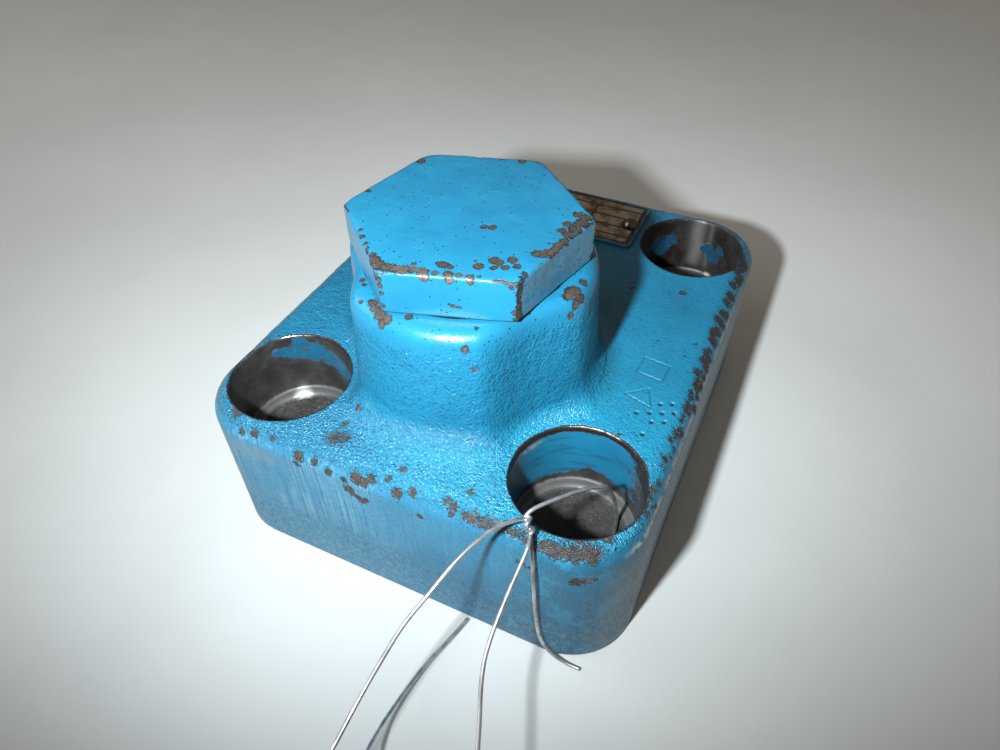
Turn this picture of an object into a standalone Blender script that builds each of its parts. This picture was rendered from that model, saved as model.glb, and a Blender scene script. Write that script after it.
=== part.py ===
"""Subplate-mounted poppet check valve in a cast-iron block.

Frame: metres, +Z up. The origin is the centre of the four-screw pattern on the
mounting face (z = 0). The dome and screw plug stand towards the front (-Y);
right is +X. Dimensions below are in millimetres; add() converts them to metres.
Each part is its own object, and those turned about a vertical line have their
origin on it. Cutters are kept in their own collection, for live booleans.
"""
import math

import bmesh
import bpy
from mathutils import Matrix, Vector

for old in list(bpy.data.objects):
    bpy.data.objects.remove(old, do_unlink=True)

MM = 0.001

# ---------------------------------------------------------------- block
BLOCK_X, BLOCK_Y, BLOCK_Z = 75.0, 90.0, 29.0
CORNER_R = 11.0          # vertical corners
TOP_ROUND = 3.6          # cast rounding of the upper edge
SCREW_X, SCREW_Y = 51.0, 64.0           # pitches of the screw pattern
CBORE_R, CBORE_DEPTH = 10.0, 12.8
SCREW_HOLE_R = 8.0
CUT_TOP, CUT_LOW = 60.0, -5.0           # bore cutters end clear of the body here

# ---------------------------------------------------------------- dome
AXIS_X, AXIS_Y = 0.0, -14.8             # the axis of dome, plug and cartridge
AXIS = (AXIS_X, AXIS_Y)
DOME_TOP = 50.3
DOME_R_TOP, DOME_R_LOW = 19.6, 20.8
SCALLOP_TOP, SCALLOP_LOW = 13.4, 12.4   # clearance radius about a front screw
SCALLOP_BLEND = 2.2                     # softening where scallop meets circle
DOME_FILLET, SCALLOP_FILLET = 5.0, 2.6
DOME_EDGE = 2.4                         # rounding of the upper edge
DOME_STEPS = 56

# ---------------------------------------------------------------- ports
PORT_R = 7.0
OUTLET = (0.0, 14.0)
RING_SEAT_R, RING_SEAT_DEPTH = 10.4, 2.0
PASSAGE_R, PASSAGE_HALF, PASSAGE_Z = 4.0, 8.0, 19.5

# ---------------------------------------------------------------- body bore
PLUG_RECESS_R = 15.4
THREAD_BORE = 13.75
SLEEVE_BORE_R = 12.0
CHAMBER_R, CHAMBER_LOW, CHAMBER_TOP = 16.0, 15.5, 23.5
SEAT_BORE_R, SEAT_BORE_LOW, SEAT_BORE_TOP = 9.5, 6.0, 13.6

# ---------------------------------------------------------------- data plate
PLATE_X, PLATE_Y, PLATE_THICK = 28.4, 15.6, 0.5
PLATE_MID_Y = 33.5
PLATE_MID_RISE = 0.35                   # mid-thickness above the block
PLATE_CORNER_R = 0.8
RIVET_X, RIVET_Y = 12.2, 33.4
RIVET_HOLE_R, RIVET_HOLE_HALF = 1.1, 6.0

# ---------------------------------------------------------------- screw plug
THREAD_PITCH = 2.0
THREAD_MAJOR, THREAD_MINOR = 13.4, 12.3
THREAD_TURNS, THREAD_START, THREAD_STEPS = 3.75, 38.95, 24
RIDGE_SINK = 0.35                       # the ridge's root lies inside the minor radius
RIDGE_HALF_ROOT, RIDGE_HALF_CREST = 0.98, 0.16
HEX_AF = 32.0                           # across flats
HEX_TURN = -2.841                       # radians from +X to one hexagon corner
HEX_LOW, HEX_TOP = 50.45, 57.2
CROWN_R_TOP, CROWN_R, CROWN_DROP = 17.6, 18.9, 0.75   # bevel of the corners
NECK_R = 12.9
PLUG_END = 36.0
PLUG_POCKET_R, PLUG_POCKET_TOP = 6.6, 47.1

# ---------------------------------------------------------------- cartridge
SLEEVE_R, SLEEVE_IN = 11.7, 8.6
SLEEVE_LOW, SLEEVE_TOP = 15.3, 34.6
SLEEVE_GROOVE_R, SLEEVE_GROOVE_LOW, SLEEVE_GROOVE_TOP = 10.0, 26.6, 30.0
CHAMFER = 0.4                           # on sleeve and seat
CROSS_HOLE_Z = 19.4                     # sleeve windows and poppet vents
SEAT_R, SEAT_GROOVE_R = 9.2, 7.9
SEAT_FLANGE_R, SEAT_FLANGE_LOW = 11.6, 13.9
SEAT_LOW, SEAT_TOP = 6.3, 15.0
FLOW_R = 6.2
POPPET_R, POPPET_IN, POPPET_TOP = 8.45, 6.2, 31.0
POPPET_FLOOR, POPPET_NOSE = 18.0, 12.6
POPPET_ORIGIN_Z = 15.0

SPRING_R, SPRING_WIRE_R = 5.1, 0.65
SPRING_LOW, SPRING_TOP = 18.3, 46.0
SPRING_TURNS, SPRING_STEPS = 11, 12
CLOSED_COIL_GAP = 0.12

WASHER_OUT, WASHER_IN = 11.4, 9.3
WASHER_LOW, WASHER_TOP, WASHER_THICK = 34.8, 35.8, 0.4
WASHER_WAVES, WASHER_STEPS = 3, 36

# ---------------------------------------------------------------- tag wire
TAG_WIRE_R = 0.3
TAG_WIRE_SPAN = 4                       # path points for each station

# Stations (x, y, z) along each length of wire.
TAG_WIRES = {
    # Up through the right front screw hole, over the rim, through the knot and
    # down the front face.
    "tag_wire_loop": [
        (30.2, -28.4, 1.4), (30.9, -28.2, 8.0), (31.2, -27.9, 15.0), (30.9, -29.2, 22.0),
        (29.9, -30.8, 27.2), (28.6, -33.0, 30.0), (25.8, -36.6, 31.4), (22.8, -40.3, 31.2),
        (21.4, -42.1, 30.6), (22.0, -43.3, 30.0), (23.3, -44.0, 29.6), (24.2, -45.4, 27.6),
        (24.8, -46.1, 20.0), (25.3, -46.0, 12.0), (26.2, -46.0, 6.0), (28.0, -46.0, 2.6),
        (30.4, -45.9, 1.1), (32.9, -45.8, 0.75),
    ],
    # Folded at the knot, with both ends led away over the front edge.
    "tag_wire_tail": [
        (11.3, -78.4, 20.2), (11.4, -75.2, 20.6), (11.6, -70.1, 22.0), (12.3, -65.6, 24.3),
        (13.4, -61.2, 27.1), (14.9, -57.2, 29.2), (16.5, -52.6, 31.2), (17.9, -49.0, 31.9),
        (19.3, -46.2, 32.0), (21.0, -44.3, 31.9), (22.3, -43.2, 31.8), (23.4, -43.3, 31.9),
        (23.9, -44.3, 31.6), (23.8, -46.0, 30.5), (23.8, -48.4, 29.4), (23.7, -51.4, 28.3),
        (23.7, -54.4, 27.2), (23.8, -57.6, 26.0), (24.2, -60.4, 25.1), (25.2, -63.4, 24.5),
        (26.7, -66.8, 24.2), (28.6, -71.4, 24.0),
    ],
    # From the foot of the front face outwards and up.
    "tag_wire_lead": [
        (13.2, -45.8, 0.8), (12.9, -47.4, 0.8), (12.1, -50.6, 0.9), (11.1, -54.6, 1.3),
        (10.5, -59.0, 1.9), (10.3, -63.0, 2.9), (10.5, -66.8, 4.6), (11.5, -71.4, 8.1),
        (12.2, -73.4, 10.2),
    ],
}


# ================================================================ scene and materials
def collection(name):
    made = bpy.data.collections.new(name)
    bpy.context.scene.collection.children.link(made)
    return made


def material(name, colour, rough, metal):
    made = bpy.data.materials.new(name)
    made.use_nodes = True
    shader = made.node_tree.nodes["Principled BSDF"]
    shader.inputs["Base Color"].default_value = (*colour, 1.0)
    shader.inputs["Roughness"].default_value = rough
    shader.inputs["Metallic"].default_value = metal
    return made


PARTS = collection("hydraulic_check_valve_block")
CUTTERS = collection("cutters")

PAINT = material("blue_paint", colour=(0.06, 0.36, 0.62), rough=0.42, metal=0.0)
STEEL = material("ground_steel", colour=(0.42, 0.41, 0.40), rough=0.32, metal=1.0)
SPRING_STEEL = material("spring_steel", colour=(0.30, 0.30, 0.31), rough=0.35, metal=1.0)
RUBBER = material("nitrile_rubber", colour=(0.02, 0.02, 0.02), rough=0.6, metal=0.0)
PTFE = material("ptfe", colour=(0.85, 0.84, 0.80), rough=0.5, metal=0.0)
BRASS = material("plate_brass", colour=(0.48, 0.38, 0.24), rough=0.4, metal=0.8)
WIRE = material("galvanised_wire", colour=(0.40, 0.40, 0.41), rough=0.35, metal=1.0)


# ================================================================ helpers
def add(name, mesh, look=None, origin=(0.0, 0.0, 0.0)):
    """An object from a mesh in world millimetres. Without a material it is a cutter."""
    mesh.transform(Matrix.Scale(MM, 4) @ Matrix.Translation(-Vector(origin)))
    obj = bpy.data.objects.new(name, mesh)
    obj.location = Vector(origin) * MM
    if look:
        PARTS.objects.link(obj)
        mesh.materials.append(look)
        mesh.shade_smooth()
        mesh.set_sharp_from_angle(angle=math.radians(32))
    else:
        CUTTERS.objects.link(obj)
        obj.hide_render = True
        obj.display_type = "WIRE"
    return obj


def mesh_of(shape, name):
    """A mesh from a bmesh, with its faces outward. The bmesh is freed."""
    bmesh.ops.recalc_face_normals(shape, faces=shape.faces)
    mesh = bpy.data.meshes.new(name)
    shape.to_mesh(mesh)
    shape.free()
    return mesh


def realised(name, data):
    """The evaluated mesh of an object's data, made in metres, welded and given in mm."""
    obj = data if isinstance(data, bpy.types.Object) else bpy.data.objects.new(name, data)
    if obj.name not in CUTTERS.objects:
        CUTTERS.objects.link(obj)
    bpy.context.view_layer.update()
    graph = bpy.context.evaluated_depsgraph_get()
    made = bpy.data.meshes.new_from_object(obj.evaluated_get(graph))
    bpy.data.objects.remove(obj, do_unlink=True)
    shape = bmesh.new()
    shape.from_mesh(made)
    bmesh.ops.remove_doubles(shape, verts=shape.verts, dist=2e-6)
    bmesh.ops.recalc_face_normals(shape, faces=shape.faces)
    shape.to_mesh(made)
    shape.free()
    made.transform(Matrix.Scale(1 / MM, 4))
    return made


def turned(name, profile, look=None, centre=AXIS, steps=40, origin_z=0.0):
    """A body of revolution about a vertical line.

    The profile lists (radius, height) down the outside, top to bottom, and up
    the inside; it stays open where it starts on the axis.
    """
    shape = bmesh.new()
    points = [shape.verts.new((radius * MM, 0.0, z * MM)) for radius, z in profile]
    for start, end in zip(points, points[1:]):
        shape.edges.new((start, end))
    if profile[0][0] > 0:
        shape.edges.new((points[-1], points[0]))
    mesh = bpy.data.meshes.new(name)
    shape.to_mesh(mesh)
    shape.free()
    raw = bpy.data.objects.new(name + "_profile", mesh)
    screw = raw.modifiers.new("turn", "SCREW")
    screw.steps = screw.render_steps = steps
    screw.use_merge_vertices = True
    screw.merge_threshold = 0.00001
    made = realised(raw.name, raw)
    made.transform(Matrix.Translation((*centre, 0.0)))
    return add(name, made, look, (*centre, origin_z))


def boolean(obj, cutter, kind="DIFFERENCE"):
    step = obj.modifiers.new(kind.lower() + "_" + cutter.name, "BOOLEAN")
    step.operation = kind
    step.solver = "EXACT"
    step.object = cutter


def prism(name, radius, low, high, steps, centre=(0.0, 0.0), turn=0.0):
    """An upright cylinder or prism cutter; its first corner is at turn from +Y."""
    shape = bmesh.new()
    place = Matrix.Translation((*centre, (low + high) / 2)) @ Matrix.Rotation(turn, 4, "Z")
    bmesh.ops.create_cone(
        shape, cap_ends=True, segments=steps, radius1=radius, radius2=radius,
        depth=high - low, matrix=place,
    )
    return add(name, mesh_of(shape, name))


def cross_hole(name, radius, half_length, centre, steps, degrees=0.0):
    """A level cylinder cutter, along Y before it is turned about +Z."""
    hole = prism(name, radius, -half_length, half_length, steps)
    hole.rotation_euler = (math.radians(90), 0, math.radians(degrees))
    hole.location = Vector(centre) * MM
    return hole


def rounded_box(size, centre, corner_r, segments):
    """A box with its upright edges rounded, as a bmesh."""
    shape = bmesh.new()
    place = Matrix.Translation(centre) @ Matrix.Diagonal((*size, 1))
    bmesh.ops.create_cube(shape, size=1.0, matrix=place)
    upright = [e for e in shape.edges if abs(e.verts[0].co.z - e.verts[1].co.z) > 0.1]
    bmesh.ops.bevel(
        shape, geom=upright, offset=corner_r, segments=segments, profile=0.5, affect="EDGES",
    )
    return shape


def o_ring(name, centre_r, radius, z, centre=AXIS, section=6):
    profile = [
        (centre_r + radius * math.cos(math.tau * i / section),
         z - radius * math.sin(math.tau * i / section))
        for i in range(section)
    ]
    return turned(name, profile, RUBBER, centre, steps=28)


def flat_ring(name, r_out, r_in, low, high, look, steps=28):
    profile = [(r_out, high), (r_out, low), (r_in, low), (r_in, high)]
    return turned(name, profile, look, steps=steps)


def round_wire(name, path, radius, look):
    """A round section swept along a path of straight lengths, with capped ends."""
    data = bpy.data.curves.new(name, "CURVE")
    data.dimensions = "3D"
    data.bevel_depth = radius * MM
    data.bevel_resolution = 1
    data.use_fill_caps = True
    spline = data.splines.new("POLY")
    spline.points.add(len(path) - 1)
    for point, (x, y, z) in zip(spline.points, path):
        point.co = (x * MM, y * MM, z * MM, 1)
    return add(name, realised(name + "_path", data), look)


# ================================================================ valve body
def block():
    shape = rounded_box((BLOCK_X, BLOCK_Y, BLOCK_Z), (0, 0, BLOCK_Z / 2), CORNER_R, segments=8)
    rim = [e for e in shape.edges if all(abs(v.co.z - BLOCK_Z) < 1e-4 for v in e.verts)]
    bmesh.ops.bevel(
        shape, geom=rim, offset=TOP_ROUND, segments=3, profile=0.5, affect="EDGES",
    )
    return add("valve_body", mesh_of(shape, "valve_body"), PAINT)


def dome_radius(angle, round_r, scallop_r):
    """The dome's plan: a circle about the axis, hollowed about both front screws."""
    reach = round_r
    for side in (1, -1):
        screw_x = side * SCREW_X / 2 - AXIS_X
        screw_y = -SCREW_Y / 2 - AXIS_Y
        along = screw_x * math.cos(angle) + screw_y * math.sin(angle)
        inside = along * along - (screw_x * screw_x + screw_y * screw_y - scallop_r * scallop_r)
        if along <= 0 or inside <= 0:
            continue
        hit = along - math.sqrt(inside)
        # smooth minimum of the circle and the scallop
        mix = min(1.0, max(0.0, 0.5 + 0.5 * (hit - reach) / SCALLOP_BLEND))
        reach = hit * (1 - mix) + reach * mix - SCALLOP_BLEND * mix * (1 - mix)
    return reach


def dome_sections():
    """(height, round radius, scallop radius) from inside the block up to the dome's top."""
    rows = [(BLOCK_Z - 6.0, DOME_R_LOW + 4.4, SCALLOP_LOW - 1.9)]
    # The foot fillet; its first row drops below the block's top face.
    for degrees, drop in ((78, 0.45), (62, 0.0), (44, 0.0), (24, 0.0), (0, 0.0)):
        angle = math.radians(degrees)
        out = 1 - math.cos(angle)
        rows.append((
            BLOCK_Z - drop + DOME_FILLET * (1 - math.sin(angle)),
            DOME_R_LOW + DOME_FILLET * out + drop * 1.6,
            SCALLOP_LOW - SCALLOP_FILLET * out,
        ))
    edge_low = DOME_TOP - DOME_EDGE
    rows.append((edge_low, DOME_R_TOP + 0.1, SCALLOP_TOP - 0.1))
    for degrees in (35, 65, 90):
        angle = math.radians(degrees)
        inward = DOME_EDGE * (1 - math.cos(angle))
        rows.append((
            edge_low + DOME_EDGE * math.sin(angle),
            DOME_R_TOP - inward * 0.8,
            SCALLOP_TOP + inward * 0.35,
        ))
    return rows


def dome():
    shape = bmesh.new()
    loops = []
    for z, round_r, scallop_r in dome_sections():
        loop = []
        for i in range(DOME_STEPS):
            angle = math.tau * i / DOME_STEPS
            radius = dome_radius(angle, round_r, scallop_r)
            x = AXIS_X + radius * math.cos(angle)
            y = AXIS_Y + radius * math.sin(angle)
            loop.append(shape.verts.new((x, y, z)))
        loops.append(loop)
    for low, high in zip(loops, loops[1:]):
        for i in range(DOME_STEPS):
            j = (i + 1) % DOME_STEPS
            shape.faces.new((low[i], low[j], high[j], high[i]))
    shape.faces.new(loops[-1])
    shape.faces.new(list(reversed(loops[0])))
    return add("dome", mesh_of(shape, "dome"))


def axis_bore():
    """Everything turned about the plug's axis, from the plug recess to the inlet port."""
    return turned("axis_bore", [
        (0, CUT_TOP), (PLUG_RECESS_R, CUT_TOP), (PLUG_RECESS_R, 47.6), (THREAD_BORE, 46.9),
        (THREAD_BORE, 38.2), (SLEEVE_BORE_R, 37.0), (SLEEVE_BORE_R, CHAMBER_TOP),
        (CHAMBER_R, CHAMBER_TOP), (CHAMBER_R, CHAMBER_LOW), (SLEEVE_BORE_R, CHAMBER_LOW),
        (SLEEVE_BORE_R, SEAT_BORE_TOP), (SEAT_BORE_R, SEAT_BORE_TOP),
        (SEAT_BORE_R, SEAT_BORE_LOW), (PORT_R, SEAT_BORE_LOW), (PORT_R, RING_SEAT_DEPTH),
        (RING_SEAT_R, RING_SEAT_DEPTH), (RING_SEAT_R, CUT_LOW), (0, CUT_LOW),
    ])


def outlet_bore():
    """A blind bore up from the mounting face."""
    return turned("outlet_bore", [
        (0, 24.0), (3.2, 23.4), (5.9, 21.4), (PORT_R, 18.6), (PORT_R, RING_SEAT_DEPTH),
        (RING_SEAT_R, RING_SEAT_DEPTH), (RING_SEAT_R, CUT_LOW), (0, CUT_LOW),
    ], centre=OUTLET, steps=32)


def outlet_passage():
    """A level passage from the outlet's axis to the chamber."""
    centre = (OUTLET[0], OUTLET[1] - PASSAGE_HALF, PASSAGE_Z)
    return cross_hole("outlet_passage", PASSAGE_R, PASSAGE_HALF, centre, steps=20)


def screw_hole(name, centre):
    cbore_floor = BLOCK_Z - CBORE_DEPTH
    return turned(name, [
        (0, CUT_TOP), (CBORE_R, CUT_TOP), (CBORE_R, cbore_floor),
        (SCREW_HOLE_R, cbore_floor), (SCREW_HOLE_R, CUT_LOW), (0, CUT_LOW),
    ], centre=centre, steps=32)


def valve_body():
    body = block()
    boolean(body, dome(), "UNION")
    boolean(body, axis_bore())
    boolean(body, outlet_bore())
    boolean(body, outlet_passage())
    for side, x in (("right", SCREW_X / 2), ("left", -SCREW_X / 2)):
        for end, y in (("back", SCREW_Y / 2), ("front", -SCREW_Y / 2)):
            boolean(body, screw_hole(f"screw_hole_{side}_{end}", (x, y)))
    return body


# ================================================================ data plate
def data_plate(body):
    """The plate on the block's top face, and its two rivets in holes through both."""
    shape = rounded_box(
        (PLATE_X, PLATE_Y, PLATE_THICK), (0, PLATE_MID_Y, BLOCK_Z + PLATE_MID_RISE),
        PLATE_CORNER_R, segments=3,
    )
    plate = add("data_plate", mesh_of(shape, "data_plate"), BRASS)
    # (radius, height above the block's top face)
    rivet = [
        (0, 1.75), (0.62, 1.66), (1.12, 1.38), (1.45, 0.98), (1.5, 0.72),
        (0.8, 0.72), (0.8, -5.2), (0, -5.6),
    ]
    for side, x in (("left", -RIVET_X), ("right", RIVET_X)):
        centre = (x, RIVET_Y)
        hole = prism(
            "rivet_hole_" + side, RIVET_HOLE_R,
            BLOCK_Z - RIVET_HOLE_HALF, BLOCK_Z + RIVET_HOLE_HALF, steps=16, centre=centre,
        )
        boolean(plate, hole)
        boolean(body, hole)
        profile = [(radius, BLOCK_Z + rise) for radius, rise in rivet]
        turned("plate_rivet_" + side, profile, STEEL, centre, steps=16)


# ================================================================ screw plug
def plug_thread():
    """One V-shaped ridge, its section turned with one pitch of rise a turn."""
    shape = bmesh.new()
    root = THREAD_MINOR - RIDGE_SINK
    section = [
        (root, -RIDGE_HALF_ROOT), (THREAD_MAJOR, -RIDGE_HALF_CREST),
        (THREAD_MAJOR, RIDGE_HALF_CREST), (root, RIDGE_HALF_ROOT),
    ]
    verts = [shape.verts.new((radius, 0.0, THREAD_START + z)) for radius, z in section]
    face = shape.faces.new(verts)
    bmesh.ops.spin(
        shape, geom=[face, *face.edges, *verts], cent=(0, 0, 0), axis=(0, 0, 1),
        dvec=(0, 0, THREAD_PITCH / THREAD_STEPS), angle=math.tau * THREAD_TURNS,
        steps=round(THREAD_TURNS * THREAD_STEPS), use_duplicate=False,
    )
    bmesh.ops.remove_doubles(shape, verts=shape.verts, dist=1e-4)
    bmesh.ops.translate(shape, verts=shape.verts, vec=(AXIS_X, AXIS_Y, 0))
    return add("plug_thread", mesh_of(shape, "plug_thread"))


def hexagon():
    """The plug's head, with its upper corners bevelled by a turned crown."""
    head = prism(
        "hexagon", HEX_AF / math.sqrt(3), HEX_LOW, HEX_TOP, steps=6, centre=AXIS,
        turn=HEX_TURN - math.pi / 2,
    )
    crown = turned("hexagon_crown", [
        (0, HEX_TOP + 0.5), (CROWN_R_TOP, HEX_TOP + 0.5), (CROWN_R_TOP, HEX_TOP),
        (CROWN_R, HEX_TOP - CROWN_DROP), (CROWN_R, HEX_LOW - 1.0), (0, HEX_LOW - 1.0),
    ], steps=48)
    boolean(head, crown, "INTERSECT")
    return head


def screw_plug():
    plug = turned("screw_plug", [
        (0, HEX_LOW + 2.0), (NECK_R, HEX_LOW + 2.0), (NECK_R, 47.3), (THREAD_MINOR, 46.7),
        (THREAD_MINOR, 38.4), (11.6, 37.7), (11.6, 36.5), (11.1, PLUG_END),
        (PLUG_POCKET_R, PLUG_END), (PLUG_POCKET_R, PLUG_POCKET_TOP),
        (0, PLUG_POCKET_TOP + 2.0),
    ], PAINT, origin_z=DOME_TOP)
    boolean(plug, plug_thread(), "UNION")
    boolean(plug, hexagon(), "UNION")
    o_ring("plug_o_ring", centre_r=14.15, radius=0.95, z=49.05)


# ================================================================ cartridge
def guide_sleeve():
    """The sleeve, with three cross holes for windows and one seal groove outside."""
    sleeve = turned("guide_sleeve", [
        (SLEEVE_R - CHAMFER, SLEEVE_TOP), (SLEEVE_R, SLEEVE_TOP - CHAMFER),
        (SLEEVE_R, SLEEVE_GROOVE_TOP), (SLEEVE_GROOVE_R, SLEEVE_GROOVE_TOP),
        (SLEEVE_GROOVE_R, SLEEVE_GROOVE_LOW), (SLEEVE_R, SLEEVE_GROOVE_LOW),
        (SLEEVE_R, SLEEVE_LOW), (SLEEVE_IN, SLEEVE_LOW),
        (SLEEVE_IN, SLEEVE_TOP - CHAMFER), (SLEEVE_IN + CHAMFER, SLEEVE_TOP),
    ], STEEL)
    for i in range(3):
        boolean(sleeve, cross_hole(
            f"sleeve_window_{i + 1}", 2.5, 14.0, (*AXIS, CROSS_HOLE_Z),
            steps=14, degrees=60 * i + 4.5,
        ))
    o_ring("sleeve_o_ring", centre_r=10.95, radius=0.68, z=27.65)
    flat_ring("sleeve_backup_ring", r_out=11.65, r_in=10.3, low=28.6, high=29.7, look=PTFE)


def seat_bushing():
    turned("seat_bushing", [
        (SEAT_FLANGE_R, SEAT_TOP), (SEAT_FLANGE_R, SEAT_FLANGE_LOW), (SEAT_R, SEAT_FLANGE_LOW),
        (SEAT_R, 11.3), (SEAT_GROOVE_R, 11.3), (SEAT_GROOVE_R, 8.0), (SEAT_R, 8.0),
        (SEAT_R, SEAT_LOW + CHAMFER), (SEAT_R - CHAMFER, SEAT_LOW),
        (FLOW_R + CHAMFER, SEAT_LOW), (FLOW_R, SEAT_LOW + CHAMFER),
        (FLOW_R, 13.4), (7.8, SEAT_TOP),
    ], STEEL)
    o_ring("seat_o_ring", centre_r=8.7, radius=0.56, z=8.9)
    flat_ring("seat_backup_ring", r_out=9.25, r_in=8.15, low=9.8, high=10.9, look=PTFE)


def poppet():
    """A cup, open above, with a conical nose and two cross vents."""
    cup = turned("poppet", [
        (0, POPPET_FLOOR), (POPPET_IN, POPPET_FLOOR), (POPPET_IN, 30.4), (6.8, POPPET_TOP),
        (8.1, POPPET_TOP), (POPPET_R, 30.6), (POPPET_R, 15.93), (5.12, POPPET_NOSE),
        (0, POPPET_NOSE),
    ], STEEL, origin_z=POPPET_ORIGIN_Z)
    for i in range(2):
        boolean(cup, cross_hole(
            f"poppet_vent_{i + 1}", 1.0, 10.0, (*AXIS, CROSS_HOLE_Z),
            steps=10, degrees=90 * i + 34.5,
        ))


def poppet_spring():
    """A compression spring with one closed coil at each end, and the shim above it."""
    close = SPRING_WIRE_R * 2 + CLOSED_COIL_GAP
    bottom, top = SPRING_LOW + SPRING_WIRE_R, SPRING_TOP - SPRING_WIRE_R
    path = []
    for i in range(SPRING_TURNS * SPRING_STEPS + 1):
        turn = i / SPRING_STEPS
        if turn < 1:
            z = bottom + close * turn
        elif turn > SPRING_TURNS - 1:
            z = top - close * (SPRING_TURNS - turn)
        else:
            open_rise = top - bottom - 2 * close
            z = bottom + close + open_rise * (turn - 1) / (SPRING_TURNS - 2)
        angle = math.tau * turn
        x = AXIS_X + SPRING_R * math.cos(angle)
        y = AXIS_Y + SPRING_R * math.sin(angle)
        path.append((x, y, z))
    round_wire("poppet_spring", path, SPRING_WIRE_R, SPRING_STEEL)
    flat_ring("spring_shim", r_out=6.2, r_in=2.2, low=46.3, high=46.9, look=STEEL, steps=24)


def wave_washer():
    shape = bmesh.new()
    swing = (WASHER_TOP - WASHER_LOW - WASHER_THICK) / 2
    half = WASHER_THICK / 2
    section = ((WASHER_OUT, half), (WASHER_OUT, -half), (WASHER_IN, -half), (WASHER_IN, half))
    rows = []
    for i in range(WASHER_STEPS):
        angle = math.tau * i / WASHER_STEPS
        middle = (WASHER_LOW + WASHER_TOP) / 2 + swing * math.cos(WASHER_WAVES * angle)
        rows.append([
            shape.verts.new((
                AXIS_X + radius * math.cos(angle), AXIS_Y + radius * math.sin(angle),
                middle + rise,
            ))
            for radius, rise in section
        ])
    for i in range(WASHER_STEPS):
        row, following = rows[i], rows[(i + 1) % WASHER_STEPS]
        for k in range(4):
            j = (k + 1) % 4
            shape.faces.new((row[k], row[j], following[j], following[k]))
    add("wave_washer", mesh_of(shape, "wave_washer"), SPRING_STEEL)


# ================================================================ port seals
def port_seals():
    for port, centre in (("inlet", AXIS), ("outlet", OUTLET)):
        o_ring(port + "_port_o_ring", centre_r=9.1, radius=0.85, z=0.95, centre=centre)


# ================================================================ tag wire
def smoothed(stations):
    """A Catmull-Rom path through the stations."""
    points = [Vector(station) for station in stations]
    padded = [points[0], *points, points[-1]]
    path = []
    for before, start, end, after in zip(padded, padded[1:], padded[2:], padded[3:]):
        for k in range(TAG_WIRE_SPAN):
            t = k / TAG_WIRE_SPAN
            path.append(0.5 * (
                2 * start
                + (end - before) * t
                + (2 * before - 5 * start + 4 * end - after) * t * t
                + (3 * start - before - 3 * end + after) * t ** 3
            ))
    path.append(points[-1])
    return path


def tag_wires():
    for name, stations in TAG_WIRES.items():
        round_wire(name, smoothed(stations), TAG_WIRE_R, WIRE)


data_plate(valve_body())
screw_plug()
guide_sleeve()
seat_bushing()
poppet()
poppet_spring()
wave_washer()
port_seals()
tag_wires()
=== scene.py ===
"""Looks of the hydraulic check valve block: a cast and machined block in worn blue enamel, its
hexagonal screw plug, a tarnished data plate, seals, cartridge parts and a soft tie wire.

The block stands on z = 0, centred on x and y. Front is -y, right is +x, up is +z. The valve axis
is upright at (AXIS_X, AXIS_Y). Lengths are millimetres unless a name says otherwise; MM turns
them into metres.
"""
import math

import bmesh
import bpy
import numpy as np
from mathutils import Matrix, Vector


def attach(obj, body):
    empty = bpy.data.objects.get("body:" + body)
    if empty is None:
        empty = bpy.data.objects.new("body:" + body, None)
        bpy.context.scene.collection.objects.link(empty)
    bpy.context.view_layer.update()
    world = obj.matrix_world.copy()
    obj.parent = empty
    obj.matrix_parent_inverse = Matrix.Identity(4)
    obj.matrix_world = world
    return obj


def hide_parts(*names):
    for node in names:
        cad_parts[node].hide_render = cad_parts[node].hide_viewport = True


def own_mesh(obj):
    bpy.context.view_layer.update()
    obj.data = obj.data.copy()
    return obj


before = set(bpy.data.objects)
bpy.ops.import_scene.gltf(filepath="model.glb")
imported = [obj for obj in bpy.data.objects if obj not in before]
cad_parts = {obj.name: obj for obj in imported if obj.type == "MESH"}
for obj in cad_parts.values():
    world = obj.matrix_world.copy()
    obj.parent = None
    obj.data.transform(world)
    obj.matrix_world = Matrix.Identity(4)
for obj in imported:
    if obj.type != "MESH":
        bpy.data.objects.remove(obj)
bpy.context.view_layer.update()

MM = 0.001
BLOCK_WIDTH, BLOCK_DEPTH, BLOCK_TOP = 75.0, 90.0, 29.0
BLOCK_CORNER = 11.0
BLOCK_TOP_EDGE, BLOCK_BASE_EDGE = 3.6, 0.6
AXIS_X, AXIS_Y = 0.0, -14.8
OUTLET_Y = 14.0
CROSS_BORE_Z, CROSS_BORE_RADIUS = 19.5, 4.0

# The dome round the valve axis, hollowed beside the two front screw holes.
DOME_TOP, DOME_RADIUS, DOME_TAPER, DOME_EDGE = 50.3, 20.8, 1.1, 2.2
HOLLOW_RADIUS, HOLLOW_FLARE, HOLLOW_EDGE = 12.4, 0.9, 2.6
DOME_FILLET, HOLLOW_FILLET_CUT = 5.0, 2.2

HOLE_X, HOLE_Y = 25.5, 32.0
HOLES = [(side_x * HOLE_X, side_y * HOLE_Y) for side_x in (-1, 1) for side_y in (-1, 1)]

HEX_TURN = -2.841  # radians
HEX_FLATS, HEX_LOW, HEX_TOP, HEX_EDGE = 32.0, 50.45, 57.2, 0.32
THREAD_LOW, THREAD_PITCH, THREAD_SLOPE = 38.95, 2.0, 1.768

PLATE_Y, PLATE_WIDTH, PLATE_DEPTH, PLATE_CORNER = 33.5, 28.4, 15.6, 0.8
PLATE_Z, PLATE_HALF_THICKNESS, PLATE_EDGE = 29.38, 0.24, 0.10
RIVET_X, RIVET_Y, RIVET_BORE = 12.2, 33.4, 1.1


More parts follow.
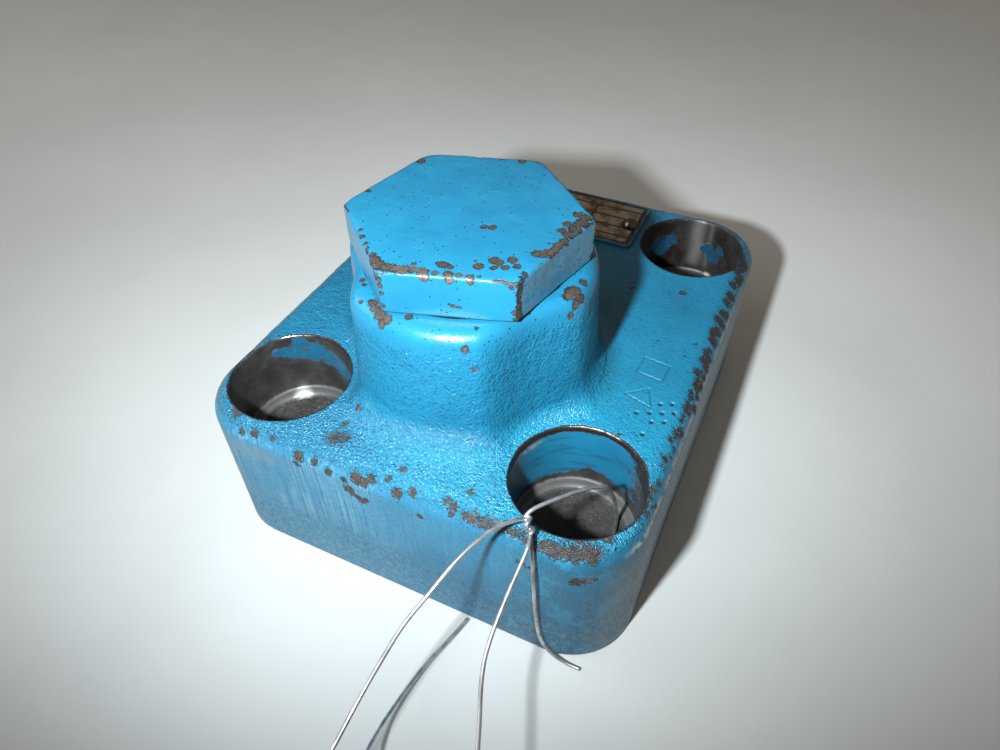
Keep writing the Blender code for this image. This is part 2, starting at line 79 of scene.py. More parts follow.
# ------------------------------------------------------------------ noise and falloffs in numpy
_rng = np.random.default_rng(7)
_SHUFFLE = np.concatenate([_rng.permutation(256)] * 3).astype(np.int32)
_GRADIENTS = _rng.normal(size=(256, 3)).astype(np.float32)
_GRADIENTS /= np.linalg.norm(_GRADIENTS, axis=1)[:, None]


def noise(points, wave, seed=0):
    """Gradient noise of the given wavelength, roughly -1 to 1."""
    scaled = np.asarray(points, np.float32) / wave + np.float32(seed * 17.31)
    cell = np.floor(scaled).astype(np.int64)
    part = scaled - cell
    fade = part * part * part * (part * (part * 6 - 15) + 10)
    total = 0.0
    for corner in np.ndindex(2, 2, 2):
        hashed = 0
        for i in range(3):
            hashed = _SHUFFLE[hashed + ((cell[:, i] + corner[i]) & 255)]
        gradient = _GRADIENTS[hashed & 255]
        value = sum(gradient[:, i] * (part[:, i] - corner[i]) for i in range(3))
        weight = math.prod(fade[:, i] if corner[i] else 1 - fade[:, i] for i in range(3))
        total = total + value * weight
    return total * 1.7


def smoothstep(low, high, value):
    t = np.clip((value - low) / (high - low), 0, 1)
    return t * t * (3 - 2 * t)


def bell(*offsets):
    """1 where every offset is zero, dying away round it."""
    return np.exp(-sum(offset ** 2 for offset in offsets))


# ------------------------------------------------------------------ distance fields
def round_cut(one, two, radius):
    """Intersection of two solids with the edge between them rounded."""
    u, v = np.maximum(one + radius, 0), np.maximum(two + radius, 0)
    return np.minimum(np.maximum(one, two), -radius) + np.sqrt(u * u + v * v)


def round_join(one, two, radius):
    """Union of two solids with a fillet between them."""
    u, v = np.maximum(radius - one, 0), np.maximum(radius - two, 0)
    return np.maximum(radius, np.minimum(one, two)) - np.sqrt(u * u + v * v)


def rounded_rect(x, y, width, depth, corner):
    over_x, over_y = np.abs(x) - (width / 2 - corner), np.abs(y) - (depth / 2 - corner)
    outside = np.hypot(np.maximum(over_x, 0), np.maximum(over_y, 0))
    return np.minimum(np.maximum(over_x, over_y), 0) + outside - corner


def outline(r, z, corners):
    """Signed distance to a closed outline in the (radius, height) plane, negative inside."""
    best = np.full(r.shape, 1e9, np.float32)
    sign = np.ones(r.shape, np.float32)
    for (start_r, start_z), (end_r, end_z) in zip(corners, corners[1:] + corners[:1]):
        edge_r, edge_z = end_r - start_r, end_z - start_z
        to_r, to_z = r - start_r, z - start_z
        length2 = edge_r * edge_r + edge_z * edge_z
        t = np.clip((to_r * edge_r + to_z * edge_z) / length2, 0, 1)
        best = np.minimum(best, (to_r - edge_r * t) ** 2 + (to_z - edge_z * t) ** 2)
        above, below, left = z >= start_z, z < end_z, edge_r * to_z > edge_z * to_r
        sign[(above & below & left) | (~above & ~below & ~left)] *= -1
    return sign * np.sqrt(best)


# Half sections of the cuts and of the plug: (radius, height), round the outline.
AXIS_BORE = [
    (-5.0, 64.0), (15.75, 64.0), (15.75, 50.9), (15.4, 50.2), (15.4, 47.6), (13.75, 46.9),
    (13.75, 38.2), (12.0, 37.0), (12.0, 23.5), (16.0, 23.5), (16.0, 15.5), (12.0, 15.5),
    (12.0, 13.6), (9.5, 13.6), (9.5, 6.0), (7.0, 6.0), (7.0, 2.0), (10.4, 2.0),
    (10.4, -6.0), (-5.0, -6.0),
]
OUTLET = [
    (-3.0, 24.2), (0.0, 24.0), (3.2, 23.4), (5.9, 21.4), (7.0, 18.6), (7.0, 2.0), (10.4, 2.0),
    (10.4, -6.0), (-3.0, -6.0),
]
SCREW_HOLE = [
    (-4.0, 64.0), (10.0, 64.0), (10.0, 16.6), (9.7, 16.25), (8.55, 16.15), (8.0, 15.6),
    (8.0, -6.0), (-4.0, -6.0),
]
PLUG_POCKET = [(-3.0, 33.0), (6.6, 33.0), (6.6, 46.9), (6.3, 47.1), (-3.0, 47.1)]
PLUG_SHANK = [
    (-3.0, HEX_LOW + 2.0), (12.9, HEX_LOW + 2.0), (12.9, 47.3), (12.3, 46.7), (12.3, 38.4),
    (11.6, 37.7), (11.6, 36.5), (11.1, 36.0), (-3.0, 36.0),
]


def thread_wave(x, y, z, crest, root):
    """Radius of a right-hand thread's flanks at a point, widest where the ridge runs."""
    turn = np.arctan2(y - AXIS_Y, x - AXIS_X) / math.tau
    phase = (z - THREAD_LOW) / THREAD_PITCH - turn
    from_ridge = np.abs(phase - np.round(phase)) * THREAD_PITCH
    return np.clip(crest - np.maximum(from_ridge - 0.16, 0) * THREAD_SLOPE, root, crest)


def join_dome(block, x, y, z, axis_r):
    up = np.clip((z - BLOCK_TOP) / (DOME_TOP - 2.4 - BLOCK_TOP), -0.3, 1.1)
    wall = (axis_r - (DOME_RADIUS - DOME_TAPER * up)) * 0.998
    dome = wall
    nearest = np.full(wall.shape, -50.0, np.float32)
    for side in (-1, 1):
        from_hole = np.hypot(x - side * HOLE_X, y + HOLE_Y)
        hollow = (HOLLOW_RADIUS + HOLLOW_FLARE * up) - from_hole
        nearest = np.maximum(nearest, hollow)
        dome = round_cut(dome, hollow, HOLLOW_EDGE)
    dome = round_cut(dome, z - DOME_TOP, DOME_EDGE)
    hollowed = np.clip(0.5 + (nearest - wall) / 5.0, 0, 1)
    return round_join(block, dome, DOME_FILLET - HOLLOW_FILLET_CUT * hollowed)


def axis_bore(x, y, z, axis_r):
    """The stepped bore, with a thread between heights 38.2 and 46.9."""
    bore = outline(axis_r, z, AXIS_BORE)
    fade = smoothstep(38.4, 39.3, z) * (1 - smoothstep(45.9, 46.7, z))
    wall = thread_wave(x, y, z, crest=13.75, root=12.65)
    wall = 13.75 - (13.75 - wall) * fade
    threaded = (z > 38.2) & (z < 46.9) & (axis_r > 10)
    return np.where(threaded, np.maximum(bore, (axis_r - wall) * 0.72), bore)


def body_field(x, y, z):
    """The whole block. Each feature is worked out only in the region it can reach."""
    d = rounded_rect(x, y, BLOCK_WIDTH, BLOCK_DEPTH, BLOCK_CORNER)
    d = round_cut(d, z - BLOCK_TOP, BLOCK_TOP_EDGE)
    d = round_cut(d, -z, BLOCK_BASE_EDGE)

    axis_r = np.hypot(x - AXIS_X, y - AXIS_Y)
    near = (axis_r < 31) & (z > 18)
    d[near] = join_dome(d[near], x[near], y[near], z[near], axis_r[near])
    near = axis_r < 19
    d[near] = round_cut(d[near], -axis_bore(x[near], y[near], z[near], axis_r[near]), 0.22)

    r = np.hypot(x, y - OUTLET_Y)
    near = (r < 14) & (z < 27)
    d[near] = round_cut(d[near], -outline(r[near], z[near], OUTLET), 0.3)
    # a level bore from the valve axis to the outlet
    near = (np.abs(x) < 8) & (y > -4) & (y < 16) & (z > 12) & (z < 27)
    tube = np.hypot(x[near], z[near] - CROSS_BORE_Z) - CROSS_BORE_RADIUS
    ends = np.maximum(-2.0 - y[near], y[near] - OUTLET_Y)
    d[near] = round_cut(d[near], -np.maximum(tube, ends), 0.3)

    for hole_x, hole_y in HOLES:
        r = np.hypot(x - hole_x, y - hole_y)
        near = r < 13.5
        d[near] = round_cut(d[near], -outline(r[near], z[near], SCREW_HOLE), 0.42)
    for side in (-1, 1):
        r = np.hypot(x - side * RIVET_X, y - RIVET_Y)
        near = (r < 3) & (z > 21)
        d[near] = np.maximum(d[near], -np.maximum(r[near] - RIVET_BORE, 23.0 - z[near]))
    return d


def plug_field(x, y, z):
    from_x, from_y = x - AXIS_X, y - AXIS_Y
    r = np.hypot(from_x, from_y)
    # the hexagon is folded into one flat: outward distance and distance along the flat
    angle = np.mod(np.arctan2(from_y, from_x) - HEX_TURN, math.pi / 3) - math.pi / 6
    outward, along = r * np.cos(angle), np.abs(r * np.sin(angle))
    flat = HEX_FLATS / 2 - HEX_EDGE
    half = (HEX_FLATS / 2 - HEX_EDGE) * math.tan(math.pi / 6)
    over = np.maximum(along - half, 0)
    beyond = np.hypot(np.maximum(outward - flat, 0), over)
    head = np.where(over > 0, beyond, outward - flat) - HEX_EDGE
    crown = (r - 17.7) * 0.53 + (z - HEX_TOP) * 0.848
    head = round_cut(head, crown, 0.3)
    head = round_cut(head, z - HEX_TOP, 0.5)
    head = round_cut(head, HEX_LOW - z, 0.25)

    shank = outline(r, z, PLUG_SHANK)
    ridge = thread_wave(x, y, z, crest=13.4, root=12.3)
    fade = smoothstep(38.2, 39.4, z) * (1 - smoothstep(45.6, 46.6, z))
    thread = (r - (12.0 + (ridge - 12.0) * fade)) * 0.72
    shank = np.minimum(shank, np.maximum(np.maximum(thread, z - 46.7), 38.3 - z))
    return round_cut(np.minimum(head, shank), -outline(r, z, PLUG_POCKET), 0.3)


def plate_field(x, y, z):
    bow = 0.10 * np.cos(x * 0.11) + 0.05 * np.sin(y * 0.35 + 0.6)
    unbowed = z - bow + 0.06
    d = rounded_rect(x, y - PLATE_Y, PLATE_WIDTH, PLATE_DEPTH, PLATE_CORNER)
    return round_cut(d, np.abs(unbowed - PLATE_Z) - PLATE_HALF_THICKNESS, PLATE_EDGE)


# ------------------------------------------------------------------ meshing a distance field
def sampled(field, low, high, step, block=5):
    """The field on a grid, worked out in full only near the surface, and the grid's corner."""
    low = np.asarray(low, float)
    counts = np.ceil((np.asarray(high, float) - low) / (step * block)).astype(int)
    axes = [low[i] + (np.arange(counts[i]) + 0.5) * step * block - step / 2 for i in range(3)]
    grid = np.stack(np.meshgrid(*axes, indexing="ij"), -1).reshape(-1, 3).astype(np.float32)
    coarse = field(*grid.T).reshape(counts)
    full = coarse
    for axis in range(3):
        full = np.repeat(full, block, axis)
    full = full.astype(np.float32)
    close = np.argwhere(np.abs(coarse) < step * block * 1.35)
    inner = np.stack(np.meshgrid(*[np.arange(block)] * 3, indexing="ij"), -1).reshape(-1, 3)
    for part in np.array_split(close, max(1, len(close) // 9000)):
        index = (part[:, None, :] * block + inner[None]).reshape(-1, 3)
        points = (low + index * step).astype(np.float32)
        full[tuple(index.T)] = field(*points.T)
    return full, low


def surface_net(values, low, step):
    """Quads round the zero level: one vertex a mixed cell, one face a crossed grid edge."""
    inside = values < 0
    size = np.array(values.shape) - 1
    count = np.zeros(size, np.int8)
    for i, j, k in np.ndindex(2, 2, 2):
        count += inside[i:size[0] + i, j:size[1] + j, k:size[2] + k]
    cells = np.argwhere((count > 0) & (count < 8))
    index = np.full(size, -1, np.int64)
    index[tuple(cells.T)] = np.arange(len(cells))
    total, hits = np.zeros((len(cells), 3)), np.zeros(len(cells))
    for axis in range(3):
        others = [other for other in range(3) if other != axis]
        for offsets in np.ndindex(2, 2):
            start = np.zeros(3, int)
            start[others] = offsets
            end = start.copy()
            end[axis] = 1
            at_start = values[tuple((cells + start).T)]
            at_end = values[tuple((cells + end).T)]
            cross = (at_start < 0) != (at_end < 0)
            t = at_start[cross] / (at_start[cross] - at_end[cross])
            spot = np.repeat(start[None].astype(float), len(t), 0)
            spot[:, axis] += t
            total[cross] += spot
            hits[cross] += 1
    verts = low + (cells + total / hits[:, None]) * step

    faces = []
    for axis in range(3):
        u, v = [(1, 2), (2, 0), (0, 1)][axis]
        first = np.take(inside, range(size[axis]), axis)
        second = np.take(inside, range(1, size[axis] + 1), axis)
        edge = np.argwhere(first != second)
        within = (edge[:, u] > 0) & (edge[:, v] > 0)
        edge = edge[within & (edge[:, u] < size[u]) & (edge[:, v] < size[v])]
        outward = first[tuple(edge.T)]
        ring = []
        for step_u, step_v in ((-1, -1), (0, -1), (0, 0), (-1, 0)):
            cell = edge.copy()
            cell[:, u] += step_u
            cell[:, v] += step_v
            ring.append(index[tuple(cell.T)])
        quad = np.stack(ring, 1)
        quad[~outward] = quad[~outward][:, ::-1]
        faces.append(quad)
    return verts, np.concatenate(faces)


def slope_of(field, points, reach=0.03):
    points = points.astype(np.float32)
    slope = np.empty(points.shape, np.float32)
    for axis in range(3):
        ahead, behind = points.copy(), points.copy()
        ahead[:, axis] += reach
        behind[:, axis] -= reach
        slope[:, axis] = (field(*ahead.T) - field(*behind.T)) / (2 * reach)
    return slope


def normals_of(field, points):
    slope = slope_of(field, points)
    return slope / np.maximum(np.linalg.norm(slope, axis=1), 1e-6)[:, None]


def settle(field, points, reach, rounds):
    """Moves each point onto the zero level, by no more than reach a round."""
    for _ in range(rounds):
        d = field(*points.astype(np.float32).T)
        slope = slope_of(field, points)
        move = -slope * (d / np.maximum((slope * slope).sum(1), 0.3))[:, None]
        size = np.linalg.norm(move, axis=1)
        points = points + move * np.minimum(1, reach / np.maximum(size, 1e-6))[:, None]
    return points


def bend_of(field, points, reach=0.45):
    """Twice the mean curvature: positive on an outside edge, negative in a fillet."""
    points = points.astype(np.float32)
    total = -6 * field(*points.T)
    for axis in range(3):
        for shift in (-reach, reach):
            moved = points.copy()
            moved[:, axis] += shift
            total = total + field(*moved.T)
    return total / (reach * reach)


# ------------------------------------------------------------------ mesh makers
def add_object(name, mesh):
    obj = bpy.data.objects.new(name, mesh)
    bpy.context.scene.collection.objects.link(obj)
    return obj


def quad_mesh(name, verts, faces):
    mesh = bpy.data.meshes.new(name)
    mesh.vertices.add(len(verts))
    mesh.vertices.foreach_set("co", np.asarray(verts, np.float64).ravel())
    mesh.loops.add(faces.size)
    mesh.loops.foreach_set("vertex_index", faces.ravel().astype(np.int32))
    mesh.polygons.add(len(faces))
    mesh.polygons.foreach_set("loop_start", np.arange(0, faces.size, 4, dtype=np.int32))
    mesh.update(calc_edges=True)
    return mesh


def masked_object(name, mesh, masks):
    """A smooth object with one float attribute a mask."""
    mesh.validate()
    for label, values in masks.items():
        attribute = mesh.attributes.new(label, "FLOAT", "POINT")
        attribute.data.foreach_set("value", np.asarray(values, np.float32))
    mesh.shade_smooth()
    return add_object(name, mesh)


def smooth_mesh(name, bm):
    bmesh.ops.recalc_face_normals(bm, faces=bm.faces)
    mesh = bpy.data.meshes.new(name)
    bm.to_mesh(mesh)
    bm.free()
    mesh.shade_smooth()
    return mesh


def softened(corners, reach):
    """A closed outline with each corner replaced by a short curve."""
    points = []
    for i, corner in enumerate(corners):
        before, after = corners[i - 1] - corner, corners[(i + 1) % len(corners)] - corner
        start = corner + before.normalized() * min(reach, before.length * 0.4)
        end = corner + after.normalized() * min(reach, after.length * 0.4)
        for t in (0, 0.25, 0.5, 0.75, 1):
            points.append(start * (1 - t) ** 2 + corner * 2 * t * (1 - t) + end * t * t)
    return points


def lathe(name, profile, centre, steps, soften=0.0):
    """A turned piece from (radius, height) points: a closed outline, or from axis to axis."""
    points = [Vector(point) for point in profile]
    closed = profile[0][0] > 1e-6
    if soften:
        points = softened(points, soften)
    bm = bmesh.new()
    rows = []
    for point in points:
        row = []
        for i in range(1 if point.x < 1e-6 else steps):
            angle = math.tau * i / steps
            x = centre[0] + point.x * math.cos(angle)
            y = centre[1] + point.x * math.sin(angle)
            row.append(bm.verts.new((x * MM, y * MM, point.y * MM)))
        rows.append(row)
    pairs = list(zip(rows, rows[1:])) + ([(rows[-1], rows[0])] if closed else [])
    for low, high in pairs:
        for i in range(steps):
            j = (i + 1) % steps
            ring = [low[i % len(low)], high[i % len(high)], high[j % len(high)], low[j % len(low)]]
            ring = list(dict.fromkeys(ring))
            if len(ring) > 2:
                bm.faces.new(ring)
    mesh = smooth_mesh(name, bm)
    mesh.set_sharp_from_angle(angle=math.radians(40))
    return add_object(name, mesh)


def torus(name, mid_radius, radius, z, centre, around=144, section=24):
    angles = [math.tau * i / section for i in range(section)]
    profile = [(mid_radius + radius * math.cos(a), z - radius * math.sin(a)) for a in angles]
    return lathe(name, profile, centre, around)


def smooth_path(points, per=10):
    """A Catmull-Rom curve through the points."""
    points = [Vector(point) for point in points]
    last = len(points) - 1
    path = []
    for i in range(last):
        a, b, c, d = points[max(i - 1, 0)], points[i], points[i + 1], points[min(i + 2, last)]
        for step in range(per):
            t = step / per
            path.append(0.5 * (
                (2 * b) + (c - a) * t + (2 * a - 5 * b + 4 * c - d) * t * t
                + (3 * b - a - 3 * c + d) * t ** 3
            ))
    path.append(points[-1])
    return path


def rod(name, path, radius, sides=14):
    """A round wire along a path, with slightly domed cut ends."""
    end_radius, end_length = radius * 0.55, 0.08
    last = len(path) - 1
    tangents = [
        (path[min(i + 1, last)] - path[max(i - 1, 0)]).normalized() for i in range(last + 1)
    ]
    bm = bmesh.new()

    def ring(at, tangent, side, ring_radius, shift=0.0):
        up = tangent.cross(side)
        verts = []
        for i in range(sides):
            angle = math.tau * i / sides
            arm = (side * math.cos(angle) + up * math.sin(angle)) * ring_radius
            verts.append(bm.verts.new((at + tangent * shift + arm) * MM))
        return verts

    side = tangents[0].orthogonal().normalized()
    rows = [ring(path[0], tangents[0], side, end_radius, -end_length)]
    for at, tangent in zip(path, tangents):
        side = (side - tangent * side.dot(tangent)).normalized()
        rows.append(ring(at, tangent, side, radius))
    rows.append(ring(path[-1], tangents[-1], side, end_radius, end_length))
    for first, second in zip(rows, rows[1:]):
        for i in range(sides):
            j = (i + 1) % sides
            bm.faces.new((first[i], first[j], second[j], second[i]))
    bm.faces.new(list(reversed(rows[0])))
    bm.faces.new(rows[-1])
    return add_object(name, smooth_mesh(name, bm))


# ------------------------------------------------------------------ shader helpers
class Value:
    """A node output that takes part in plain arithmetic; each operation adds a math node."""

    def __init__(self, look, socket):
        self.look, self.socket = look, socket

    def __add__(self, other):
        return self.look.math("ADD", self, other)

    def __radd__(self, other):
        return self.look.math("ADD", other, self)

    def __sub__(self, other):
        return self.look.math("SUBTRACT", self, other)

    def __rsub__(self, other):
        return self.look.math("SUBTRACT", other, self)

    def __mul__(self, other):
        return self.look.math("MULTIPLY", self, other)

    def __lt__(self, other):
        return self.look.math("LESS_THAN", self, other)

    def step(self, low, high):
        """Smoothly from 0 at low to 1 at high; high may be the smaller of the two."""
        inputs = {0: self, 1: low, 2: high}
        return self.look.node("MapRange", 0, inputs, interpolation_type="SMOOTHSTEP")


class Look:
    """A node material; self.pos is the rest position in millimetres."""

    def __init__(self, name):
        self.mat = bpy.data.materials.new(name)
        self.mat.use_nodes = True
        self.tree = self.mat.node_tree
        self.tree.nodes.clear()
        out = self.tree.nodes.new("ShaderNodeOutputMaterial")
        self.bsdf = self.tree.nodes.new("ShaderNodeBsdfPrincipled")
        self.tree.links.new(self.bsdf.outputs[0], out.inputs[0])
        metres = self.node("TexCoord", "Object", {})
        self.pos = self.vec("MULTIPLY", metres, (1000.0, 1000.0, 1000.0))

    def node(self, kind, output, inputs, **settings):
        node = self.tree.nodes.new("ShaderNode" + kind)
        for key, value in settings.items():
            setattr(node, key, value)
        for key, value in inputs.items():
            self.put(node.inputs[key], value)
        return Value(self, node.outputs[output])

    def put(self, socket, value):
        if isinstance(value, Value):
            self.tree.links.new(value.socket, socket)
        elif isinstance(value, tuple) and socket.type == "RGBA":
            socket.default_value = (*value, 1.0)
        else:
            socket.default_value = value

    def set(self, **values):
        for key, value in values.items():
            self.put(self.bsdf.inputs[key.replace("_", " ")], value)

    def math(self, operation, a, b=0.0):
        return self.node("Math", 0, {0: a, 1: b, 2: 0.0}, operation=operation)

    def larger(self, a, b):
        return self.math("MAXIMUM", a, b)

    def vec(self, operation, a, b):
        return self.node("VectorMath", 0, {0: a, 1: b}, operation=operation)

    def position(self):
        node = self.tree.nodes.new("ShaderNodeSeparateXYZ")
        self.put(node.inputs[0], self.pos)
        return [Value(self, socket) for socket in node.outputs]

    def lengthwise(self, x):
        """A sampling place that varies with one value only."""
        return self.node("CombineXYZ", 0, {0: x, 1: 0.0, 2: 0.0})

    def noise(self, wave, detail=2.0, rough=0.5, warp=0.0, at=None, stretch=None):
        where = at or self.pos
        if stretch:
            where = self.vec("MULTIPLY", where, stretch)
        return self.node("TexNoise", 0, {
            "Vector": where, "Scale": 1.0 / wave, "Detail": detail, "Roughness": rough,
            "Distortion": warp,
        })

    def cells(self, wave, at=None):
        inputs = {"Vector": at or self.pos, "Scale": 1.0 / wave}
        return self.node("TexVoronoi", "Distance", inputs)

    def mask(self, name):
        return self.node("Attribute", "Fac", {}, attribute_name=name)

    def mix(self, share, base, over):
        return self.node("Mix", 2, {0: share, 6: base, 7: over}, data_type="RGBA")

    def mixf(self, share, base, over):
        return self.node("Mix", 0, {0: share, 2: base, 3: over}, data_type="FLOAT")

    def layers(self, base, *coats):
        """The base colour with each (share, colour) coat laid over it in turn."""
        for share, colour in coats:
            base = self.mix(share, base, colour)
        return base

    def bump(self, height):
        """Height in millimetres."""
        inputs = {"Strength": 1.0, "Distance": MM, "Height": height}
        self.set(Normal=self.node("Bump", 0, inputs))


def show(look, obj, body, node):
    obj.data.materials.clear()
    obj.data.materials.append(look.mat)
    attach(obj, body)
    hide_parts(node)


# ------------------------------------------------------------------ enamel
PAINT = (0.012, 0.176, 0.305)
PAINT_DEEP = (0.009, 0.138, 0.250)
PAINT_BRIGHT = (0.020, 0.215, 0.375)
PAINT_CHALK_AND_SHEEN = (0.070, 0.225, 0.335)
RUST = (0.046, 0.031, 0.024)
RUST_LIGHT = (0.096, 0.074, 0.064)
RUST_DARK = (0.017, 0.013, 0.012)
IRON = (0.165, 0.160, 0.158)
OILY = (0.060, 0.058, 0.057)


class Enamel(Look):
    """Blue enamel with orange peel, pinholes and chips down to rusty iron, and bare bores.

    It reads masks from the mesh: wear (chips), bend (curvature), bare (machined), spray (paint
    carried into the holes), cast (rough skin), side (upright faces), seat, rim, polish, scuff,
    turned (tool mark place), glint (painted highlights), line (worn paint, partly a painted edge
    highlight), mark (punched, and painted shade) and steep (painted shade on upright faces).
    """

    def __init__(self, name):
        super().__init__(name)
        self.x, self.y, self.z = self.position()
        for mask in ("wear", "bend", "bare", "spray", "cast", "side", "seat"):
            setattr(self, mask, self.mask(mask))
        # noises from coarse to fine, by wavelength
        self.broad = self.noise(16.0, detail=3.0, rough=0.55)
        self.stains = self.noise(4.5, detail=4.0, rough=0.65)
        self.mid = self.noise(3.2, detail=3.0, rough=0.6)
        self.small = self.noise(1.05, detail=3.0, rough=0.62, warp=0.6)
        self.bead = self.noise(0.52, rough=0.62)
        self.fine = self.noise(0.42, detail=3.0, rough=0.65, warp=0.4)
        self.bead2 = self.noise(0.29, rough=0.6, at=self.vec("ADD", self.pos, (1.3, 7.7, 2.9)))
        self.speck = self.noise(0.27, rough=0.6)
        self.grit = self.noise(0.16, rough=0.6)
        self.ragged = (self.fine - 0.5) * 1.15 + (self.small - 0.5) * 0.9
        self.marks = self.noise(
            0.30, detail=3.0, rough=0.7, at=self.lengthwise(self.mask("turned") * 1.0))
        # the right rear screw hole
        self.rear = self.x.step(5.0, 10.0) * self.y.step(18.0, 22.0) * self.z.step(16.6, 17.2)

        self.find_damage()
        self.find_metal()
        paint, iron, steel = self.paint_colour(), self.iron_colour(), self.steel_colour()
        self.gone = self.larger(
            self.larger(self.chip, self.edgy * 0.95), self.larger(self.pins, self.specks) * 0.85)
        self.gone = self.gone * (1.0 - self.metal_area)
        # painted shade: pinholes and pitted specks are painted near-black, standing in for the
        # shade inside the pits
        hole = (0.007, 0.006, 0.006)
        under = self.mix(self.larger(self.pins, self.specks), iron, hole)
        # painted shadow: a dark line runs round every chip, where the edge of the paint would cast
        # shade
        painted_brink_shadow = self.placed.step(0.03, 0.11) * self.placed.step(0.36, 0.22)
        painted_brink_shadow = painted_brink_shadow * (1.0 - self.metal_area) * (1.0 - self.shine)
        colour = self.mix(self.metal_area, paint, steel)
        colour = self.layers(colour, (self.gone, under), (painted_brink_shadow * 0.78, (0.011, 0.009, 0.008)))
        self.set(Base_Color=colour, Specular_IOR_Level=0.5)
        self.set_surface()
        self.set_relief()

    def find_damage(self):
        """Chips at worn places and sharp edges, and scattered pinholes and specks."""
        cast, mid, ragged = self.cast, self.mid, self.ragged
        grain = (self.speck - 0.5) * self.mixf(cast, 0.3, 4.2)
        self.placed = self.wear + ragged * self.mixf(cast, 0.50, 1.45) + grain
        self.chip = self.placed.step(0.10, 0.20)
        self.edgy = (self.bend * 0.55 + (mid - 0.5) * 2.1 + ragged * 0.55).step(0.78, 0.90)
        pin_size = self.mixf(self.fine, 0.03, 0.26) * self.mixf(cast, 1.0, 0.55)
        pin_groups = self.noise(2.6, detail=1.0).step(0.43, 0.48)
        self.pins = (self.cells(0.92) < pin_size) * pin_groups * self.bare.step(-0.2, -0.6)
        speck_cells = self.cells(0.8, at=self.vec("ADD", self.pos, (3.7, 9.1, 5.3)))
        speck_groups = self.noise(5.5, rough=0.6).step(0.55, 0.62)
        self.specks = (
            (speck_cells < 0.15) * speck_groups * self.mixf(cast, 0.4, 0.8)
            * self.side.step(0.6, 0.2)
        )

    def find_metal(self):
        """Where machined metal shows: bare, with a ragged end to the paint sprayed over it."""
        mid, ragged = self.mid, self.ragged
        uncovered = (self.bare + ragged * 0.42 + (mid - 0.5) * 0.5).step(-0.02, 0.08)
        over = (self.spray + ragged * 0.95 + (mid - 0.5) * 1.3).step(-0.05, 0.28)
        self.metal_area = uncovered * (1.0 - over)

    def paint_colour(self):
        x, y, z, broad, mid, small = self.x, self.y, self.z, self.broad, self.mid, self.small
        cast, side, bead, bead2, speck = self.cast, self.side, self.bead, self.bead2, self.speck
        leftside = (x + (broad - 0.5) * 30.0).step(12.0, -12.0)
        patches = self.noise(7.0, detail=3.0, rough=0.6).step(0.35, 0.7)
        # partly chalky worn paint, partly a painted sheen: the upright sides paler and greyer,
        # most on the left
        chalk_and_sheen = side * (0.40 + leftside * 0.60) * (0.34 + patches * 0.34)
        # grinding streaks running down the upper part of the upright sides
        self.streak = self.noise(0.50, rough=0.65, stretch=(1.0, 1.0, 0.022))
        self.streak2 = self.noise(3.5, stretch=(1.0, 1.0, 0.30))
        self.ground = side * (z + (self.noise(9.0) - 0.5) * 9.0).step(8.0, 15.0)
        light_streak = (
            self.ground * self.streak.step(0.51, 0.60) * self.streak2.step(0.38, 0.55)
            * self.mixf(leftside, 0.16, 0.9)
        )
        dark_streak = self.ground * self.streak.step(0.46, 0.38) * self.mixf(leftside, 0.45, 1.0)
        shaded = (
            side * (x + (broad - 0.5) * 24.0).step(13.0, 25.0)
            * self.noise(4.5, detail=3.0, rough=0.6).step(0.34, 0.54) * y.step(-20.0, -34.0)
        )
        # painted light: brighter, bluer paint on the block's top, in front of the dome and to its
        # right, where the rough top catches more of the key light
        painted_top_light = (
            cast * z.step(27.0, 28.0) * z.step(32.0, 29.5)
            * (y + (broad - 0.5) * 8.0).step(8.0, -14.0) * x.step(-9.0, 7.0)
            * side.step(0.6, 0.1)
        )
        low_dirt = side * (z + (mid - 0.5) * 6.0).step(15.0, 9.0)
        low_dirt = low_dirt * self.noise(1.0, detail=3.0, rough=0.7).step(0.36, 0.62)
        # Darkening: dirty patches low on the sides, darker patches in the fillets, painted shade
        # in the pits of the rough skin, and painted shade in punched marks and under the hexagon
        self.dirt_and_shade = (
            low_dirt * 0.34
            + self.bend.step(-0.10, -0.45) * small.step(0.52, 0.72) * 0.35  # fillets
            # the next three terms are painted shade in the pits of the rough skin
            + bead.step(0.44, 0.32) * cast * 0.55  # pits of the rough skin
            + bead2.step(0.42, 0.32) * cast * 0.50
            + (bead * 0.6 + speck * 0.4).step(0.39, 0.33) * cast * 0.7
            # painted shade: punched marks and the strip under the hexagon
            + self.mask("mark").step(0.25, 0.8) * 0.85
        )
        self.rough_front = (
            cast * y.step(-27.0, -38.0) * z.step(27.5, 28.3) * z.step(33.0, 30.0))
        painted_sparkle = (bead2 * 0.6 + speck * 0.4).step(0.54, 0.62)
        low_fleck = side * (z + (mid - 0.5) * 6.0).step(14.0, 7.0) * self.noise(7.5)
        flecks = self.noise(0.85, detail=3.0, rough=0.7, stretch=(1.0, 1.0, 0.6))
        scuffed = self.mask("scuff") * (small * 0.6 + self.fine * 0.4).step(0.36, 0.60)
